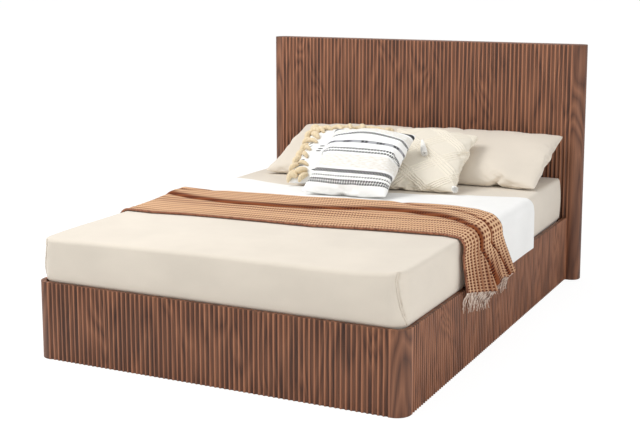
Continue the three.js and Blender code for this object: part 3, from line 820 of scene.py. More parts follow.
def rounded_plan(x, y, half_x, low_y, high_y, radius):
    """Moves points of a rectangle so that its corners are rounded, those at the head less"""
    middle_y, half_y = (low_y + high_y) / 2, (high_y - low_y) / 2
    radius = np.where(y > middle_y, np.minimum(radius, 0.026), radius)
    a = np.clip((np.abs(x) - (half_x - radius)) / radius, 0, 1)
    b = np.clip((np.abs(y - middle_y) - (half_y - radius)) / radius, 0, 1)
    new_x = np.where(a > 0, half_x - radius + radius * a * np.sqrt(1 - b * b / 2), np.abs(x))
    new_y = np.where(b > 0, half_y - radius + radius * b * np.sqrt(1 - a * a / 2), np.abs(y - middle_y))
    return np.sign(x) * new_x, middle_y + np.sign(y - middle_y) * new_y


def spread(low, high, step, fine, reach):
    """Positions from low to high that lie closer together near both ends"""
    near = np.array([reach * (1 - math.cos(i / fine * math.pi / 2)) for i in range(fine + 1)])
    inside = np.linspace(low + reach, high - reach, max(2, int((high - low - 2 * reach) / step)))
    return np.concatenate([low + near[:-1], inside, (high - near[:-1])[::-1]])


def waist(height):
    """How far the mattress's side lies inside its fullest line at a height"""
    return 0.0055 * ((height - 0.395) / 0.095) ** 2


def mattress_form():
    """The mattress in its fitted sheet: soft top edge, rounded corners and sides that swell a little"""
    bottom, high_y = MATTRESS_LOW.z, MATTRESS_HIGH.y
    edge_start = MATTRESS_TOP - MATTRESS_EDGE
    xs = spread(-MATTRESS_SIDE, MATTRESS_SIDE, 0.014, 12, 0.08)
    ys = spread(MATTRESS_FOOT, high_y, 0.014, 12, 0.08)
    grid_y, grid_x = np.meshgrid(ys, xs, indexing="ij")
    inset = np.minimum(MATTRESS_SIDE - np.abs(grid_x), np.minimum(grid_y - MATTRESS_FOOT, high_y - grid_y))
    plan = rounded_plan(grid_x, grid_y, MATTRESS_SIDE, MATTRESS_FOOT, high_y, MATTRESS_CORNER)
    drop = np.clip(MATTRESS_EDGE - inset, 0, MATTRESS_EDGE)
    grid_z = edge_start + np.sqrt(np.maximum(0, MATTRESS_EDGE ** 2 - drop ** 2))
    rows, columns = grid_x.shape
    points = [np.stack([*plan, grid_z], -1).reshape(-1, 3)]
    faces = grid_faces(rows, columns)
    rim = ([(0, i) for i in range(columns)] + [(j, columns - 1) for j in range(1, rows)]
           + [(rows - 1, i) for i in range(columns - 2, -1, -1)] + [(j, 0) for j in range(rows - 2, 0, -1)])
    rim_index = [j * columns + i for j, i in rim]
    rim_points = points[0][rim_index]
    middle = np.array([0, (MATTRESS_FOOT + high_y) / 2])
    reach = np.array([MATTRESS_SIDE - MATTRESS_CORNER, (high_y - MATTRESS_FOOT) / 2 - MATTRESS_CORNER])

    def pulled_in(shape, amount):
        """Draws a ring of points towards the middle of the mattress"""
        offset = shape[:, :2] - middle
        outward = offset - np.clip(offset, -reach, reach)
        shape[:, :2] -= outward * (amount / MATTRESS_CORNER)
        return shape

    rings = [(level, waist(level)) for level in np.linspace(edge_start, WALL_TOP + 0.006, 30)[1:]]
    rings += [(WALL_TOP + 0.002, 0.008), (WALL_TOP - 0.008, 0.0145), (bottom + 0.012, 0.018), (bottom, 0.028)]
    points[0] = pulled_in(points[0], waist(edge_start))
    previous = rim_index
    count = len(rim_index)
    total = rows * columns
    for level, pull in rings:
        shape = pulled_in(rim_points.copy(), pull)
        shape[:, 2] = level
        points.append(shape)
        ring = list(range(total, total + count))
        for k in range(count):
            n = (k + 1) % count
            faces.append((previous[k], ring[k], ring[n], previous[n]))
        previous = ring
        total += count
    points.append(np.array([[0, middle[1], bottom]]))
    faces += [(previous[k], total, previous[(k + 1) % count]) for k in range(count)]
    points = np.concatenate(points)
    taper = np.clip((points[:, 1] - (HEAD_FRONT - 0.688)) / 0.674, 0, 1)
    points[:, 0] *= 1 - taper * (0.0115 / MATTRESS_SIDE)
    return points, faces


def seam_turn(height):
    """Where the foot corner's seam runs round the corner, in radians from the foot side, at a height"""
    share = (MATTRESS_TOP - height) / (MATTRESS_TOP - WALL_TOP)
    degrees = np.interp(share, [0.0, 0.05, 0.16, 0.4, 0.62, 0.78, 0.93, 1.0], [36, 33, 27, 33, 42, 52, 68, 76])
    return np.radians(degrees)


def corner_turn(across, along):
    """How far round the foot corner a place lies, from its distances past the start of the corner"""
    if along <= 0:
        return math.pi / 2 - along / MATTRESS_CORNER
    return math.atan2(across, along) if across > 0 else across / MATTRESS_CORNER


def crease_mattress(mattress):
    """Small waves of the cotton, and the puckered seams of the foot corners"""
    data = mattress.data
    data.update()
    for vertex in data.vertices:
        p, n = vertex.co, vertex.normal
        fade = limited((p.z - WALL_TOP - 0.004) / 0.03)
        side = 1 - abs(n.z)
        wave = waver(p.x * 3.1, p.y * 3.1, p.z * 5.0)
        fine = waver(p.x * 11, p.y * 11, p.z * 9 + 5)
        move = (0.0022 * wave + 0.0008 * fine) * (0.35 + side)
        across = abs(p.x) - (MATTRESS_SIDE - MATTRESS_CORNER)
        along = (MATTRESS_FOOT + MATTRESS_CORNER) - p.y
        if across > -0.09 and along > -0.09:
            turn = corner_turn(across, along)
            gap = (turn - seam_turn(p.z)) * MATTRESS_CORNER
            if gap > 0:
                pucker = waver(p.z * 62, turn * 1.2, 2.0)
                move += 0.0095 * pucker * math.exp(-gap / 0.028) * side
            else:
                pucker = waver(p.z * 70, turn * 1.2, 7.0)
                move += 0.0016 * pucker * math.exp(gap / 0.016) * side
            move -= 0.0055 * (1 + 0.7 * pucker) * bell(gap - 0.0035, 0.0036) * side
            move += 0.0012 * bell(gap + 0.005, 0.004) * side
        vertex.co = p + n * min(move, 0.003) * fade
    data.update()


def corner_seam(name, side):
    """The stitched seam that stands proud at a foot corner of the fitted sheet"""
    route = []
    for height in np.linspace(MATTRESS_TOP - 0.004, WALL_TOP + 0.006, 60):
        turn = float(seam_turn(height))
        swell = waist(height) if height < 0.483 else 0.0047 + (height - 0.483) * 0.25
        reach = MATTRESS_CORNER - swell + 0.0008 + 0.0011 * waver(height * 110, 3.0, side)
        x = side * (MATTRESS_SIDE - MATTRESS_CORNER + reach * math.sin(turn))
        y = MATTRESS_FOOT + MATTRESS_CORNER - reach * math.cos(turn)
        route.append((x, y, height - float(settled(x, y, height))))
    return tube(name, route, 0.0019, 8)


class BED_OT_mattress(bpy.types.Operator):
    """Makes the mattress in its fitted sheet"""

    bl_idname = "bed.mattress"
    bl_label = "Mattress"

    def execute(self, context):
        mattress = mesh_object("fitted_mattress", *mattress_form())
        crease_mattress(mattress)
        settle(mattress)
        smooth(mattress, 60)
        for name, side in SIDES:
            place_piece(corner_seam(f"fitted_sheet_seam_{name}", side), "platform", "fitted_sheet")
        place_piece(mattress, "platform", "fitted_sheet", ["mattress"])
        return {"FINISHED"}


# Cloths over the mattress


def bed_profile(side, top, turn_radius, hem, step):
    """Points and outward directions across the bed from hem to hem, with the length along the cloth"""
    turn_start, turn_side = top - turn_radius, side - turn_radius
    straight = turn_start - hem
    count = max(2, round(straight / step))
    path = [(side, hem + straight * i / count, 1.0, 0.0) for i in range(count)]
    arc_steps = 10
    for i in range(arc_steps + 1):
        out_x, out_z = math.cos(i / arc_steps * math.pi / 2), math.sin(i / arc_steps * math.pi / 2)
        path.append((turn_side + turn_radius * out_x, turn_start + turn_radius * out_z, out_x, out_z))
    count = max(2, round(turn_side / step))
    path += [(turn_side * (1 - i / count), top, 0.0, 1.0) for i in range(1, count)]
    right = np.array(path)
    left = right[::-1] * np.array([-1, 1, -1, 1])
    path = np.concatenate([right, [[0, top, 0, 1]], left])
    steps = np.hypot(np.diff(path[:, 0]), np.diff(path[:, 1]))
    return path, np.concatenate([[0], np.cumsum(steps)])


def cloth_over(name, path, lengths, span, rise, across, thickness, fall=None, flat_width=None, shade=None):
    """A draped cloth with its flat map in metres, marked for painted shade where a fold rises towards the head
    and where more shade falls
    """
    shares = np.linspace(0, 1, across + 1)
    points, corners, lifts, widths = [], [], [], []
    for (x, z, out_x, out_z), length in zip(path, lengths):
        foot, head = span(x, z)
        widths.append(head - foot)
        for share in shares:
            y = foot + (head - foot) * share
            lift = rise(share, x, z, y)
            low = fall(share, z) if fall else z
            points.append((x + out_x * lift, y, low + out_z * lift))
            corners.append((length, (flat_width or head - foot) * share))
            lifts.append(lift)
    points = np.array(points)
    points[:, 2] -= settled(*points.T)
    cloth = mesh_object(name, points, grid_faces(len(path), across + 1, flip=True), corners)
    # Painted shade: the slopes that rise towards the head are marked darker, as if in shade, and the shade
    # function adds its own
    slope = np.gradient(np.reshape(lifts, (-1, across + 1)), axis=1) / (np.array(widths) / across)[:, None]
    soft = np.pad(slope, ((0, 0), (1, 1)), mode="edge")
    marks = (soft[:, :-2] + 2 * soft[:, 1:-1] + soft[:, 2:]) / 4 / 0.55
    if shade:
        marks += [[shade(share, place[0], place[1]) for share in shares] for place in path]
    mark_vertices(cloth, "hollow", np.clip(marks, 0, 1))
    solid = cloth.modifiers.new("Thickness", "SOLIDIFY")
    solid.thickness = thickness
    solid.offset = -1
    apply_modifiers(cloth)
    smooth(cloth, 60)
    return cloth


class BED_OT_flat_sheet(bpy.types.Operator):
    """Lays the folded flat sheet across the mattress"""

    bl_idname = "bed.flat_sheet"
    bl_label = "Flat Sheet"

    def execute(self, context):
        low, high = SHEET_LOW, SHEET_HIGH
        side, top = high.x - 0.0026, high.z - 0.0026
        path, lengths = bed_profile(side, top, 0.034, low.z, 0.014)

        def span(x, z):
            """The sheet's edges: the head side one runs in a curve on top, both run upright on the hang"""
            on_top = np.interp(
                x, [-0.73, -0.61, -0.49, -0.38, -0.02, 0.30, 0.50, 0.60, 0.70],
                [0.392, 0.358, 0.302, 0.262, 0.215, 0.247, 0.322, 0.343, 0.372])
            down = min(1, (top - z) / 0.06)
            return low.y + 0.17 * down, float(on_top + (0.400 - on_top) * down)

        def rise(share, x, z, y):
            hang = limited((top - z) / 0.15)
            wave = waver(x * 2.5, y * 4.5, z * 1.5 + 9)
            crease = waver(x * 2.0, y * 9, 4.0)
            return 0.0028 + hang * 0.005 * max(-0.2, wave) + (1 - hang) * 0.0012 * max(0, crease)

        cloth = cloth_over("folded_sheet", path, lengths, span, rise, 60, 0.0022)
        place_piece(cloth, "platform", "flat_sheet", ["flat_sheet"])
        return {"FINISHED"}


# The throw's edges and pleats along its length, by the distance along the cloth from the middle of the
# bed: the foot side edge and the head side edge in metres, and where the first and second pleat end, as
# shares of the width
FRONT_EDGE = (
    (-0.80, -0.75, -0.60, -0.44, -0.20, 0.15, 0.45, 0.68, 0.75, 0.80, 0.90, 0.98),
    (-0.500, -0.505, -0.530, -0.525, -0.539, -0.559, -0.512, -0.488, -0.515, -0.543, -0.540, -0.536),
)
BACK_EDGE = (
    (-0.95, -0.78, -0.65, -0.46, -0.08, 0.25, 0.58, 0.67, 0.71, 0.76, 0.79, 0.82, 0.86, 0.93, 0.98),
    (0.020, -0.015, -0.050, -0.078, -0.084, -0.045, -0.034, -0.057, -0.085, -0.125, -0.120, -0.100, -0.070,
     -0.020, 0.022),
)
FIRST_PLEAT = (
    (-0.95, -0.75, -0.60, -0.40, -0.30, 0.03, 0.26, 0.36, 0.45, 0.60, 0.65, 0.74, 0.79, 0.82, 0.86,
     0.93, 0.98),
    (0.72, 0.70, 0.61, 0.51, 0.49, 0.53, 0.64, 0.655, 0.62, 0.54, 0.48, 0.36, 0.35, 0.41, 0.51, 0.56, 0.57),
)
SECOND_PLEAT = (
    (-0.95, -0.75, -0.60, -0.45, 0.25, 0.38, 0.45, 0.60, 0.67, 0.74, 0.79, 0.82, 0.86, 0.93, 0.98),
    (0.84, 0.86, 0.92, 1.05, 1.05, 0.90, 0.84, 0.79, 0.75, 0.667, 0.62, 0.67, 0.735, 0.805, 0.84),
)


def pleat_rise(share, start, end, low, tall):
    """A pleat that swells up steeply from the hollow behind the one before and rolls over at its crest"""
    t = (share - start) / (end - start)
    if t <= 0 or t >= 1:
        return low
    swell = 1 - math.exp(-(share - start) / 0.022)
    roll = 1 - max(0.0, (t - 0.86) / 0.14) ** 2
    return low + (tall - low) * swell * (0.82 + 0.18 * t) * roll


def throw_place(x, z):
    """A place along the throw's length, from the middle of the bed"""
    return math.copysign(abs(x) + max(0.0, THROW_TOP - THROW_BEND - z), x)


def throw_span(x, z):
    place = throw_place(x, z)
    return float(np.interp(place, *FRONT_EDGE)), float(np.interp(place, *BACK_EDGE))


def throw_rise(share, x, z, y):
    """Height of the throw's long pleats above what carries it"""
    turn = THROW_TOP - THROW_BEND
    place = throw_place(x, z)
    down = limited((turn - z) / (turn - THROW_HEM))
    first = float(np.interp(place, *FIRST_PLEAT)) + 0.008 * waver(place * 5, 1.0, 1.0)
    second = float(np.interp(place, *SECOND_PLEAT)) + 0.008 * waver(place * 5, 6.0, 1.0)
    swell = 1 + 0.16 * waver(place * 3.1, 3.0, 3.0)
    if share < first:
        t = share / first
        roll = 1 - max(0.0, (t - 0.95) / 0.05) ** 2 * 0.7
        height = (0.010 + 0.014 * down) * swell * max(0.0, (t - 0.25) / 0.75) ** 1.6 * roll
        height += 0.0008 * math.sin(share * 74 + 3 * waver(x * 2, share * 5, 1)) * (t < 0.9)
    elif share < second:
        height = pleat_rise(share, first, min(second, 1.08), 0.003, (0.020 + 0.006 * down) * swell)
    else:
        height = pleat_rise(share, second, 1.08, 0.004, (0.021 + 0.007 * down) * swell)
    flare = 0.018 * down ** 1.3 if x > 0 else 0.006 * down
    back_edge = 1 - max(0.0, (share - 0.955) / 0.045) ** 2 * 0.6
    return 0.0036 + height * back_edge + 0.0012 * waver(x * 9, y * 9, z * 9) + flare


def throw_fall(share, z):
    """Height of a point once the pleats have drawn the hem up by different amounts"""
    turn = THROW_TOP - THROW_BEND
    if z >= turn:
        return z
    rim = np.interp(
        share, [0, 0.54, 0.60, 0.66, 0.82, 0.87, 1], [0.308, 0.248, 0.270, 0.292, 0.268, 0.278, 0.272])
    return float(turn - (turn - z) * (turn - rim) / (turn - THROW_HEM))


def throw_shade(share, x, z):
    """Painted shade: the broad hollow in front of the first crest, and the hanging end, are painted darker"""
    down = limited((THROW_TOP - z) / 0.15)
    behind = share - float(np.interp(throw_place(x, z), *FIRST_PLEAT))
    return 0.5 * bell(behind - 0.03, 0.07) * (1 - down) + 0.40 * down


def throw_spot(share, x, z, out_x, out_z, proud):
    """A point that stands a little proud of the throw"""
    foot, head = throw_span(x, z)
    y = foot + (head - foot) * share
    lift = throw_rise(share, x, z, y) + proud
    spot = np.array([x + out_x * lift, y, throw_fall(share, z) + out_z * lift])
    spot[2] -= settled(*spot)
    return spot


def rolled_hem(path):
    """The corded hem along the throw's foot side, with a bead for each stitch"""
    route = np.array([throw_spot(0, *place, 0.0008) for place in path])
    along = np.concatenate([[0], np.cumsum(np.linalg.norm(np.diff(route, axis=0), axis=1))])
    fine = np.arange(0, along[-1], 0.0024)
    route = np.stack([np.interp(fine, along, route[:, axis]) for axis in range(3)], -1)

    def bead(t):
        return 0.72 + 0.42 * abs(math.sin(t * along[-1] / 0.0094 * math.pi))

    return tube("throw_rolled_hem", route, 0.0046, 8, bead)


def fringe_row(name, sign, wall, end):
    """Knotted yarns that hang from one end of the throw, in front of the side board"""
    random = np.random.default_rng(7 if sign > 0 else 8)
    strands = []
    for k in range(FRINGE_STRANDS):
        start = throw_spot((k + 0.5) / FRINGE_STRANDS, *end, -0.001)
        long = 0.058 + 0.028 * random.random()
        swing, drift = random.normal(0, 0.012), random.normal(0, 0.006)
        curl = 0.0035 * random.random()
        route = []
        for i in range(8):
            t = i / 7
            x = abs(start[0]) - (abs(start[0]) - wall - 0.006) * min(1, 1.6 * t) + drift * t * t
            x = max(x + 0.0018 * math.sin(9 * t + k), wall + 0.0015)
            y = start[1] + swing * t * t + curl * math.sin(7 * t + k * 1.7)
            route.append((sign * x, y, start[2] + 0.004 - long * t))
        strands.append(tube(f"{name}_{k}", route, 0.0018, 5, lambda t: 1 - 0.45 * t))
    return join_pieces(name, strands)


class BED_OT_throw(bpy.types.Operator):
    """Lays the knitted throw over the bed, with its rolled hem and fringe"""

    bl_idname = "bed.throw"
    bl_label = "Throw"

    def execute(self, context):
        side = THROW_SIDE - 0.0203
        path, lengths = bed_profile(side, THROW_TOP, THROW_BEND, THROW_HEM, 0.0085)
        cloth = cloth_over("knitted_throw", path, lengths, throw_span, throw_rise, 150, 0.0035,
                           throw_fall, KNIT_WIDTH, throw_shade)
        place_piece(cloth, "platform", "throw_knit", ["throw"])
        trims = [rolled_hem(path)]
        place_piece(trims[0], "platform", "throw_knit", finish="throw_hem")
        for name, sign, end in (("right", 1, path[0]), ("left", -1, path[-1])):
            fringe = fringe_row(f"throw_fringe_{name}", sign, side - 0.002, end)
            place_piece(fringe, "platform", "throw_knit", finish="throw_fringe")
            trims.append(fringe)
        return {"FINISHED"}


# Pillows and cushions


def flat_cushion(name, width, height, cells_x, cells_y):
    """Two layers of cloth sewn round their edge, ready to be filled"""
    clear_selection()
    bpy.ops.mesh.primitive_grid_add(x_subdivisions=cells_x, y_subdivisions=cells_y, size=1)
    cushion = bpy.context.object
    cushion.name = name
    cushion.scale = (width, height, 1)
    bake_place(cushion)
    cushion.data.uv_layers[0].name = "Cloth"
    solid = cushion.modifiers.new("Layers", "SOLIDIFY")
    solid.thickness = 0.006
    solid.offset = 0
    apply_modifiers(cushion)
    return cushion


def fill_cushion(cushion, bedding):
    """Swells a flat cushion by cloth simulation"""
    take(cushion)
    cloth = cushion.modifiers.new("Filling", "CLOTH")
    for key, value in FILLING_CLOTH.items():
        setattr(cloth.settings, key, value)
    cloth.settings.use_pressure = True
    cloth.settings.uniform_pressure_force = bedding.fill_pressure
    cloth.settings.effector_weights.gravity = 0
    cloth.collision_settings.use_collision = False
    cloth.point_cache.frame_start = 1
    cloth.point_cache.frame_end = bedding.fill_frames
    scene = bpy.context.scene
    for step in range(1, bedding.fill_frames + 1):
        scene.frame_set(step)
    bpy.ops.object.modifier_apply(modifier=cloth.name)
    scene.frame_set(1)


def size_to(obj, size):
    places = vertex_values(obj)
    low, high = places.min(0), places.max(0)
    set_places(obj, (places - (low + high) / 2) * np.array(size) / (high - low))


def flat_map(obj):
    """Each vertex's place on the flat cloth, from 0 to 1 both ways"""
    data = obj.data
    spots = np.zeros(len(data.loops) * 2, np.float32)
    data.uv_layers["Cloth"].data.foreach_get("uv", spots)
    corners = np.zeros(len(data.loops), np.int64)
    data.loops.foreach_get("vertex_index", corners)
    places = np.zeros((len(data.vertices), 2))
    places[corners] = spots.reshape(-1, 2)
    return places


def square_up(cushion, pull, cells):
    """Straightens the outline that the filling drew in, leaving each side a little hollow"""
    places, spots = vertex_values(cushion), flat_map(cushion)
    for axis in (0, 1):
        rows = np.rint(spots[:, 1 - axis] * cells[1 - axis]).astype(int)
        reach = np.array([np.abs(places[rows == row, axis]).max() for row in range(cells[1 - axis] + 1)])
        half = reach.max()
        place = np.linspace(-1, 1, len(reach))
        drawn = np.polyval(np.polyfit(place ** 2, reach, 3), place ** 2)
        factors = half * (1 - pull * (1 - place ** 2)) / np.maximum(drawn, reach * 0.97)
        places[:, axis] *= factors[rows]
    set_places(cushion, places)


def pucker_edges(cushion, depth):
    """Gathers the cloth in short creases that run in from the seams"""
    moves = []
    for u, v in flat_map(cushion):
        move = 0
        for near, along in ((min(u, 1 - u), v), (min(v, 1 - v), u)):
            crease = waver(along * 15, near * 2.5, 4.0) + 0.5 * waver(along * 31, near * 5, 9.0)
            move += crease * math.exp(-near / 0.11) * min(1, near / 0.015)
        moves.append(move)
    push_out(cushion, np.array(moves) * depth)


def lean_cushion(obj, tilt, turn, middle, back, seat, roll=0.0):
    """Lays a cushion back by its tilt, turns it and sets it on the seat, flat where it rests"""
    spin = Matrix.Rotation(math.radians(turn), 4, "Z") @ Matrix.Rotation(math.radians(tilt), 4, "X")
    obj.data.transform(spin)
    places = vertex_values(obj)
    places += np.array([middle, back, seat - SUNK - places[:, 2].min()])
    below = places[:, 2] < seat + 0.004
    places[below, 2] = seat + 0.0005 + 0.0035 * np.exp((places[below, 2] - seat - 0.004) / 0.012)
    upper = (places[:, 2] - seat) / (places[:, 2].max() - seat)
    places[:, 2] -= math.radians(roll) * (places[:, 0] - middle) * upper
    set_places(obj, places)


def stuffed(name, size, bedding, cells, pull):
    """A filled cushion lying flat at the origin"""
    width, height, _ = size
    cushion = flat_cushion(name, width * 1.12, height * 1.12, *cells)
    fill_cushion(cushion, bedding)
    size_to(cushion, size)
    square_up(cushion, pull, cells)
    return cushion


def refine(cushion, levels):
    detail = cushion.modifiers.new("Detail", "SUBSURF")
    detail.levels = detail.render_levels = levels
    apply_modifiers(cushion)


def finish_cushion(cushion):
    take(cushion)
    bpy.ops.object.shade_smooth()
    settle(cushion)


# For each pillow: width, middle, cells, and its left and right ends at the bottom and at the top
PILLOWS = {
    "left": (0.632, -0.312, (64, 46), (-0.652, 0.0), (-0.614, -0.004)),
    "right": (0.728, 0.376, (72, 46), (0.016, 0.730), (0.006, 0.753)),
}


class BED_OT_pillows(bpy.types.Operator):
    """Makes the two pillows that lean on the headboard"""

    bl_idname = "bed.pillows"
    bl_label = "Pillows"

    def execute(self, context):
        bedding = context.scene.bed_bedding
        seat = MATTRESS_TOP + 0.0004
        for name, (width, middle, cells, bottom_ends, top_ends) in PILLOWS.items():
            pillow = stuffed(f"bed_pillow_{name}", (width, 0.462, 0.150), bedding, cells, 0.012)
            pucker_edges(pillow, 0.0034)
            lean_cushion(pillow, 30.5, 0, middle, 0, seat)
            places = vertex_values(pillow)
            places[:, 1] += HEAD_FRONT - PILLOW_GAP - places[:, 1].max()
            places[:, 2] = seat + (places[:, 2] - seat) * (PILLOW_TOP - seat) / (places[:, 2].max() - seat)
            upper = (places[:, 2] - seat) / (PILLOW_TOP - seat)
            across = (places[:, 0] - places[:, 0].min()) / np.ptp(places[:, 0])
            ends = [low + (high - low) * upper for low, high in zip(bottom_ends, top_ends)]
            places[:, 0] = ends[0] + (ends[1] - ends[0]) * across
            set_places(pillow, places)
            place_piece(pillow, "platform", "pillowcase", [f"pillow_{name}"])
            refine(pillow, 1)
            finish_cushion(pillow)
        return {"FINISHED"}


# For each cushion: size, tilt, turn and place, roll, height of its seat over the mattress, slot, levels of
# detail and fill
CUSHIONS = {
    "tufted": ((0.414, 0.430, 0.104), (26.8, 8, -0.182, 0.452), 1.0, 0.0034, "cushion_tufted", 1, 0.75),
    "diamond": ((0.396, 0.438, 0.108), (28, 3, 0.222, 0.499), 3.2, 0.0004, "cushion_cream", 2, 0.7),
    "striped": ((0.400, 0.446, 0.128), (30.5, 1.5, 0.010, 0.232), 2.2, 0.0034, "cushion_striped", 1, 0.75),
}


# For each tassel: its place on the diamond cushion's flat map, how far it stands off, direction and length
TASSELS = (
    ("top", (0.46, 0.60), (0.0, -0.010, 0.016), (0.38, -0.74, -0.46), 0.112),
    ("bottom", (0.98, 0.02), (0, -0.002, 0.016), (0.5, -0.75, -0.15), 0.045),
)


def diamond_ribs(cushion):
    """Marks and raises the double ribs that cross in diamonds"""
    uv = flat_map(cushion)
    ribs = np.zeros(len(uv))
    for turn in (uv[:, 0] * 0.8 + uv[:, 1], uv[:, 0] * 0.8 - uv[:, 1]):
        phase = np.abs(((turn * 2.6 + 0.1) % 1.0) - 0.5)
        for line in (0.05, 0.15):
            ribs = np.maximum(ribs, np.exp(-(((phase - line) / 0.03) ** 2)))
    mark_vertices(cushion, "rib", ribs)
    push_out(cushion, ribs * 0.0036)


def surface_spot(cushion, u, v):
    """The place and outward direction on a cushion's front where its flat map reads u and v"""
    data = cushion.data
    best, found = 9.0, None
    layer = data.uv_layers["Cloth"].data
    for polygon in data.polygons:
        if polygon.index % 2 or polygon.normal.z < 0.05 and polygon.normal.y > 0:
            continue
        spot = layer[polygon.loop_start].uv
        gap = (spot.x - u) ** 2 + (spot.y - v) ** 2
        if gap < best:
            best, found = gap, polygon
    return Vector(found.center), Vector(found.normal)


def tuft_leaf(name, place, outward, along, length, width):
    """One looped tuft: a plump leaf of yarn"""
    along = (along - outward * along.dot(outward)).normalized()
    side = outward.cross(along)
    route = []
    for i in range(9):
        t = i / 8
        lift = 0.003 + 0.011 * math.sin(math.pi * t)
        route.append(place + along * (t - 0.5) * length + outward * lift + side * 0.006 * math.sin(3 * t))

    def plump(t):
        return 0.2 + 0.95 * math.sin(math.pi * min(1, 0.05 + t * 0.8))

    return tube(name, route, width / 2, 8, plump)


def edge_tufts(cushion):
    """Leaf tufts in pairs along the edges of the tufted cushion"""
    random = np.random.default_rng(21)
    leaves = []
    spots = []
    for k in range(8):
        t = 0.07 + 0.122 * k
        spots += [(0.07, t, 62), (0.17, t + 0.05, -20), (t, 0.94, 12), (t + 0.05, 0.85, -40),
                  (t, 0.06, 40), (0.93, t, 50)]
    for k, (u, v, turn) in enumerate(spots):
        place, outward = surface_spot(cushion, min(0.95, u), min(0.95, v))
        turn = math.radians(turn + random.normal(0, 26))
        along = Vector((math.cos(turn), math.sin(turn) * 0.7, math.sin(turn) * 0.7))
        length = 0.048 + 0.038 * random.random()
        leaves.append(tuft_leaf(f"leaf_{k}", place, outward, along, length, 0.017 + 0.012 * random.random()))
    return join_pieces("cushion_leaf_tufts", leaves)


def tassel(name, anchor, direction, length):
    """A tassel: a bound neck and a skirt of yarns"""
    random = np.random.default_rng(5)
    direction = direction.normalized()
    side = direction.orthogonal().normalized()
    other = direction.cross(side)

    def swollen(t):
        return 0.7 + 0.5 * math.sin(math.pi * t)

    neck = [anchor + direction * t for t in (0, 0.006, 0.012, 0.018)]
    parts = [tube(f"{name}_neck", neck, 0.0055, 10, swollen)]
    for k in range(34):
        turn = k * 2.4
        wide = 0.0165 * math.sqrt((k + 1) / 34)
        spread_out = side * math.cos(turn) * wide + other * math.sin(turn) * wide
        route = [anchor + direction * (0.014 + (length - 0.014) * t) + spread_out * (0.25 + 0.75 * t ** 0.6)
                 for t in (0, 0.2, 0.45, 0.7, 0.9 + 0.1 * random.random())]
        parts.append(tube(f"{name}_{k}", route, 0.0018, 5))
    return join_pieces(name, parts)


class BED_OT_cushions(bpy.types.Operator):
    """Makes the striped, tufted and diamond cushions"""

    bl_idname = "bed.cushions"
    bl_label = "Cushions"

    def execute(self, context):
        made = {}
        for name, (size, lean, roll, seat, slot, levels, fill) in CUSHIONS.items():
            cushion = stuffed(f"{name}_cushion", size, context.scene.bed_bedding, CUSHION_CELLS, 0.03)
            pucker_edges(cushion, 0.002)
            if name == "diamond":
                refine(cushion, levels)
                diamond_ribs(cushion)
            lean_cushion(cushion, *lean, MATTRESS_TOP + seat, roll)
            place_piece(cushion, "platform", slot, [f"cushion_{name}"])
            if name != "diamond":
                refine(cushion, levels)
            finish_cushion(cushion)
            made[name] = cushion
        place_piece(edge_tufts(made["tufted"]), "platform", "cushion_tufted", finish="tuft_yarn")
        for name, spot, offset, direction, length in TASSELS:
            anchor = surface_spot(made["diamond"], *spot)[0] + Vector(offset)
            piece = tassel(f"cushion_tassel_{name}", anchor, Vector(direction), length)
            place_piece(piece, "platform", "cushion_cream", finish="tassel_yarn")
        return {"FINISHED"}


# Stage


def area_lamp(name, place, target, size, power):
    clear_selection()
    bpy.ops.object.light_add(type="AREA", location=place)
    lamp = bpy.context.object
    lamp.name = name
    lamp.data.shape = "RECTANGLE"
    lamp.data.size, lamp.data.size_y = size
    lamp.data.energy = power
    lamp.rotation_euler = (Vector(target) - Vector(place)).to_track_quat("-Z", "Y").to_euler()


def show_camera(tree, lighting, seen, output):
    """Shows one shader to the camera while the other one lights the scene"""
    ray = add_node(tree, "LightPath").outputs["Is Camera Ray"]
    mixed = add_node(tree, "MixShader", {0: ray, 1: lighting, 2: seen})
    tree.links.new(mixed.outputs[0], tree.nodes[output].inputs[0])


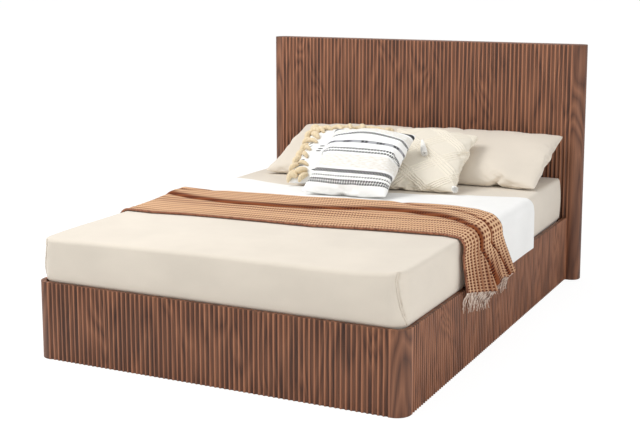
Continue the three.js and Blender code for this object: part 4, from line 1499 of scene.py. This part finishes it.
class BED_OT_stage(bpy.types.Operator):
    """Makes the floor, the lights and the camera"""

    bl_idname = "bed.stage"
    bl_label = "Stage"

    def execute(self, context):
        scene = context.scene
        stage = scene.bed_stage
        clear_selection()
        bpy.ops.mesh.primitive_plane_add(size=400, location=(0, 0, -0.0005))
        floor = bpy.context.object
        floor.name = "studio_floor"
        finish = Finish("studio_floor", 0.9, Specular_IOR_Level=0.0)
        tree, plain = finish.tree, finish.shader.outputs[0]
        finish.shader.inputs["Base Color"].default_value = (*stage.floor, 1)
        glow = add_node(tree, "Emission", {"Strength": stage.glow})
        dimmed = add_node(tree, "MixShader", {0: 0.8, 1: plain, 2: glow.outputs[0]})
        show_camera(tree, plain, dimmed.outputs[0], "Material Output")
        set_material(floor, finish.material)
        world = scene.world or bpy.data.worlds.new("studio")
        scene.world = world
        world.use_nodes = True
        sky = world.node_tree
        light = sky.nodes["Background"]
        light.inputs[0].default_value = (1, 1, 1, 1)
        light.inputs[1].default_value = stage.fill
        white = add_node(sky, "Background", {0: (1, 1, 1, 1), 1: 1.0})
        show_camera(sky, light.outputs[0], white.outputs[0], "World Output")
        area_lamp("key_lamp", (-2.3, -1.3, 3.9), (0, 0, 0.3), (2.2, 2.2), stage.key)
        area_lamp("side_lamp", (4.6, -2.2, 2.2), (0.7, -0.2, 0.3), (3.0, 3.0), stage.side)
        clear_selection()
        bpy.ops.object.camera_add(
            location=(2.215, -4.725, 1.504), rotation=(math.pi / 2 - 0.1573, 0, 0.4513))
        camera = bpy.context.object
        camera.name = "photo_camera"
        camera.data.lens = 68.57
        camera.data.sensor_width = 36
        camera.data.shift_y = -0.0906
        scene.camera = camera
        scene.view_settings.view_transform = "Standard"
        return {"FINISHED"}


SETTINGS = (WoodSettings, BeddingSettings, StageSettings)
OPERATORS = (
    BED_OT_fluted_boards, BED_OT_posts, BED_OT_base_inside, BED_OT_platform, BED_OT_lift,
    BED_OT_mattress, BED_OT_flat_sheet, BED_OT_throw, BED_OT_pillows, BED_OT_cushions, BED_OT_stage,
)


class BED_PT_sidebar(bpy.types.Panel):
    """Lists the bed's pieces and settings"""

    bl_idname = "BED_PT_sidebar"
    bl_label = "Ottoman Bed"
    bl_space_type = "VIEW_3D"
    bl_region_type = "UI"
    bl_category = "Ottoman Bed"

    def draw(self, context):
        for settings in (context.scene.bed_wood, context.scene.bed_bedding, context.scene.bed_stage):
            column = self.layout.column(align=True)
            for name in settings.__annotations__:
                column.prop(settings, name)
        for operator in OPERATORS:
            self.layout.operator(operator.bl_idname)


def register():
    for kind in (*SETTINGS, *OPERATORS, BED_PT_sidebar):
        bpy.utils.register_class(kind)
    bpy.types.Scene.bed_wood = PointerProperty(type=WoodSettings)
    bpy.types.Scene.bed_bedding = PointerProperty(type=BeddingSettings)
    bpy.types.Scene.bed_stage = PointerProperty(type=StageSettings)


def unregister():
    del bpy.types.Scene.bed_stage
    del bpy.types.Scene.bed_bedding
    del bpy.types.Scene.bed_wood
    for kind in reversed((*SETTINGS, *OPERATORS, BED_PT_sidebar)):
        bpy.utils.unregister_class(kind)


def main():
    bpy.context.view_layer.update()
    register()
    bpy.ops.bed.stage()
    bpy.ops.bed.fluted_boards()
    bpy.ops.bed.posts()
    bpy.ops.bed.base_inside()
    bpy.ops.bed.platform()
    bpy.ops.bed.lift()
    bpy.ops.bed.mattress()
    bpy.ops.bed.flat_sheet()
    bpy.ops.bed.throw()
    bpy.ops.bed.pillows()
    bpy.ops.bed.cushions()


if __name__ == "__main__":
    main()
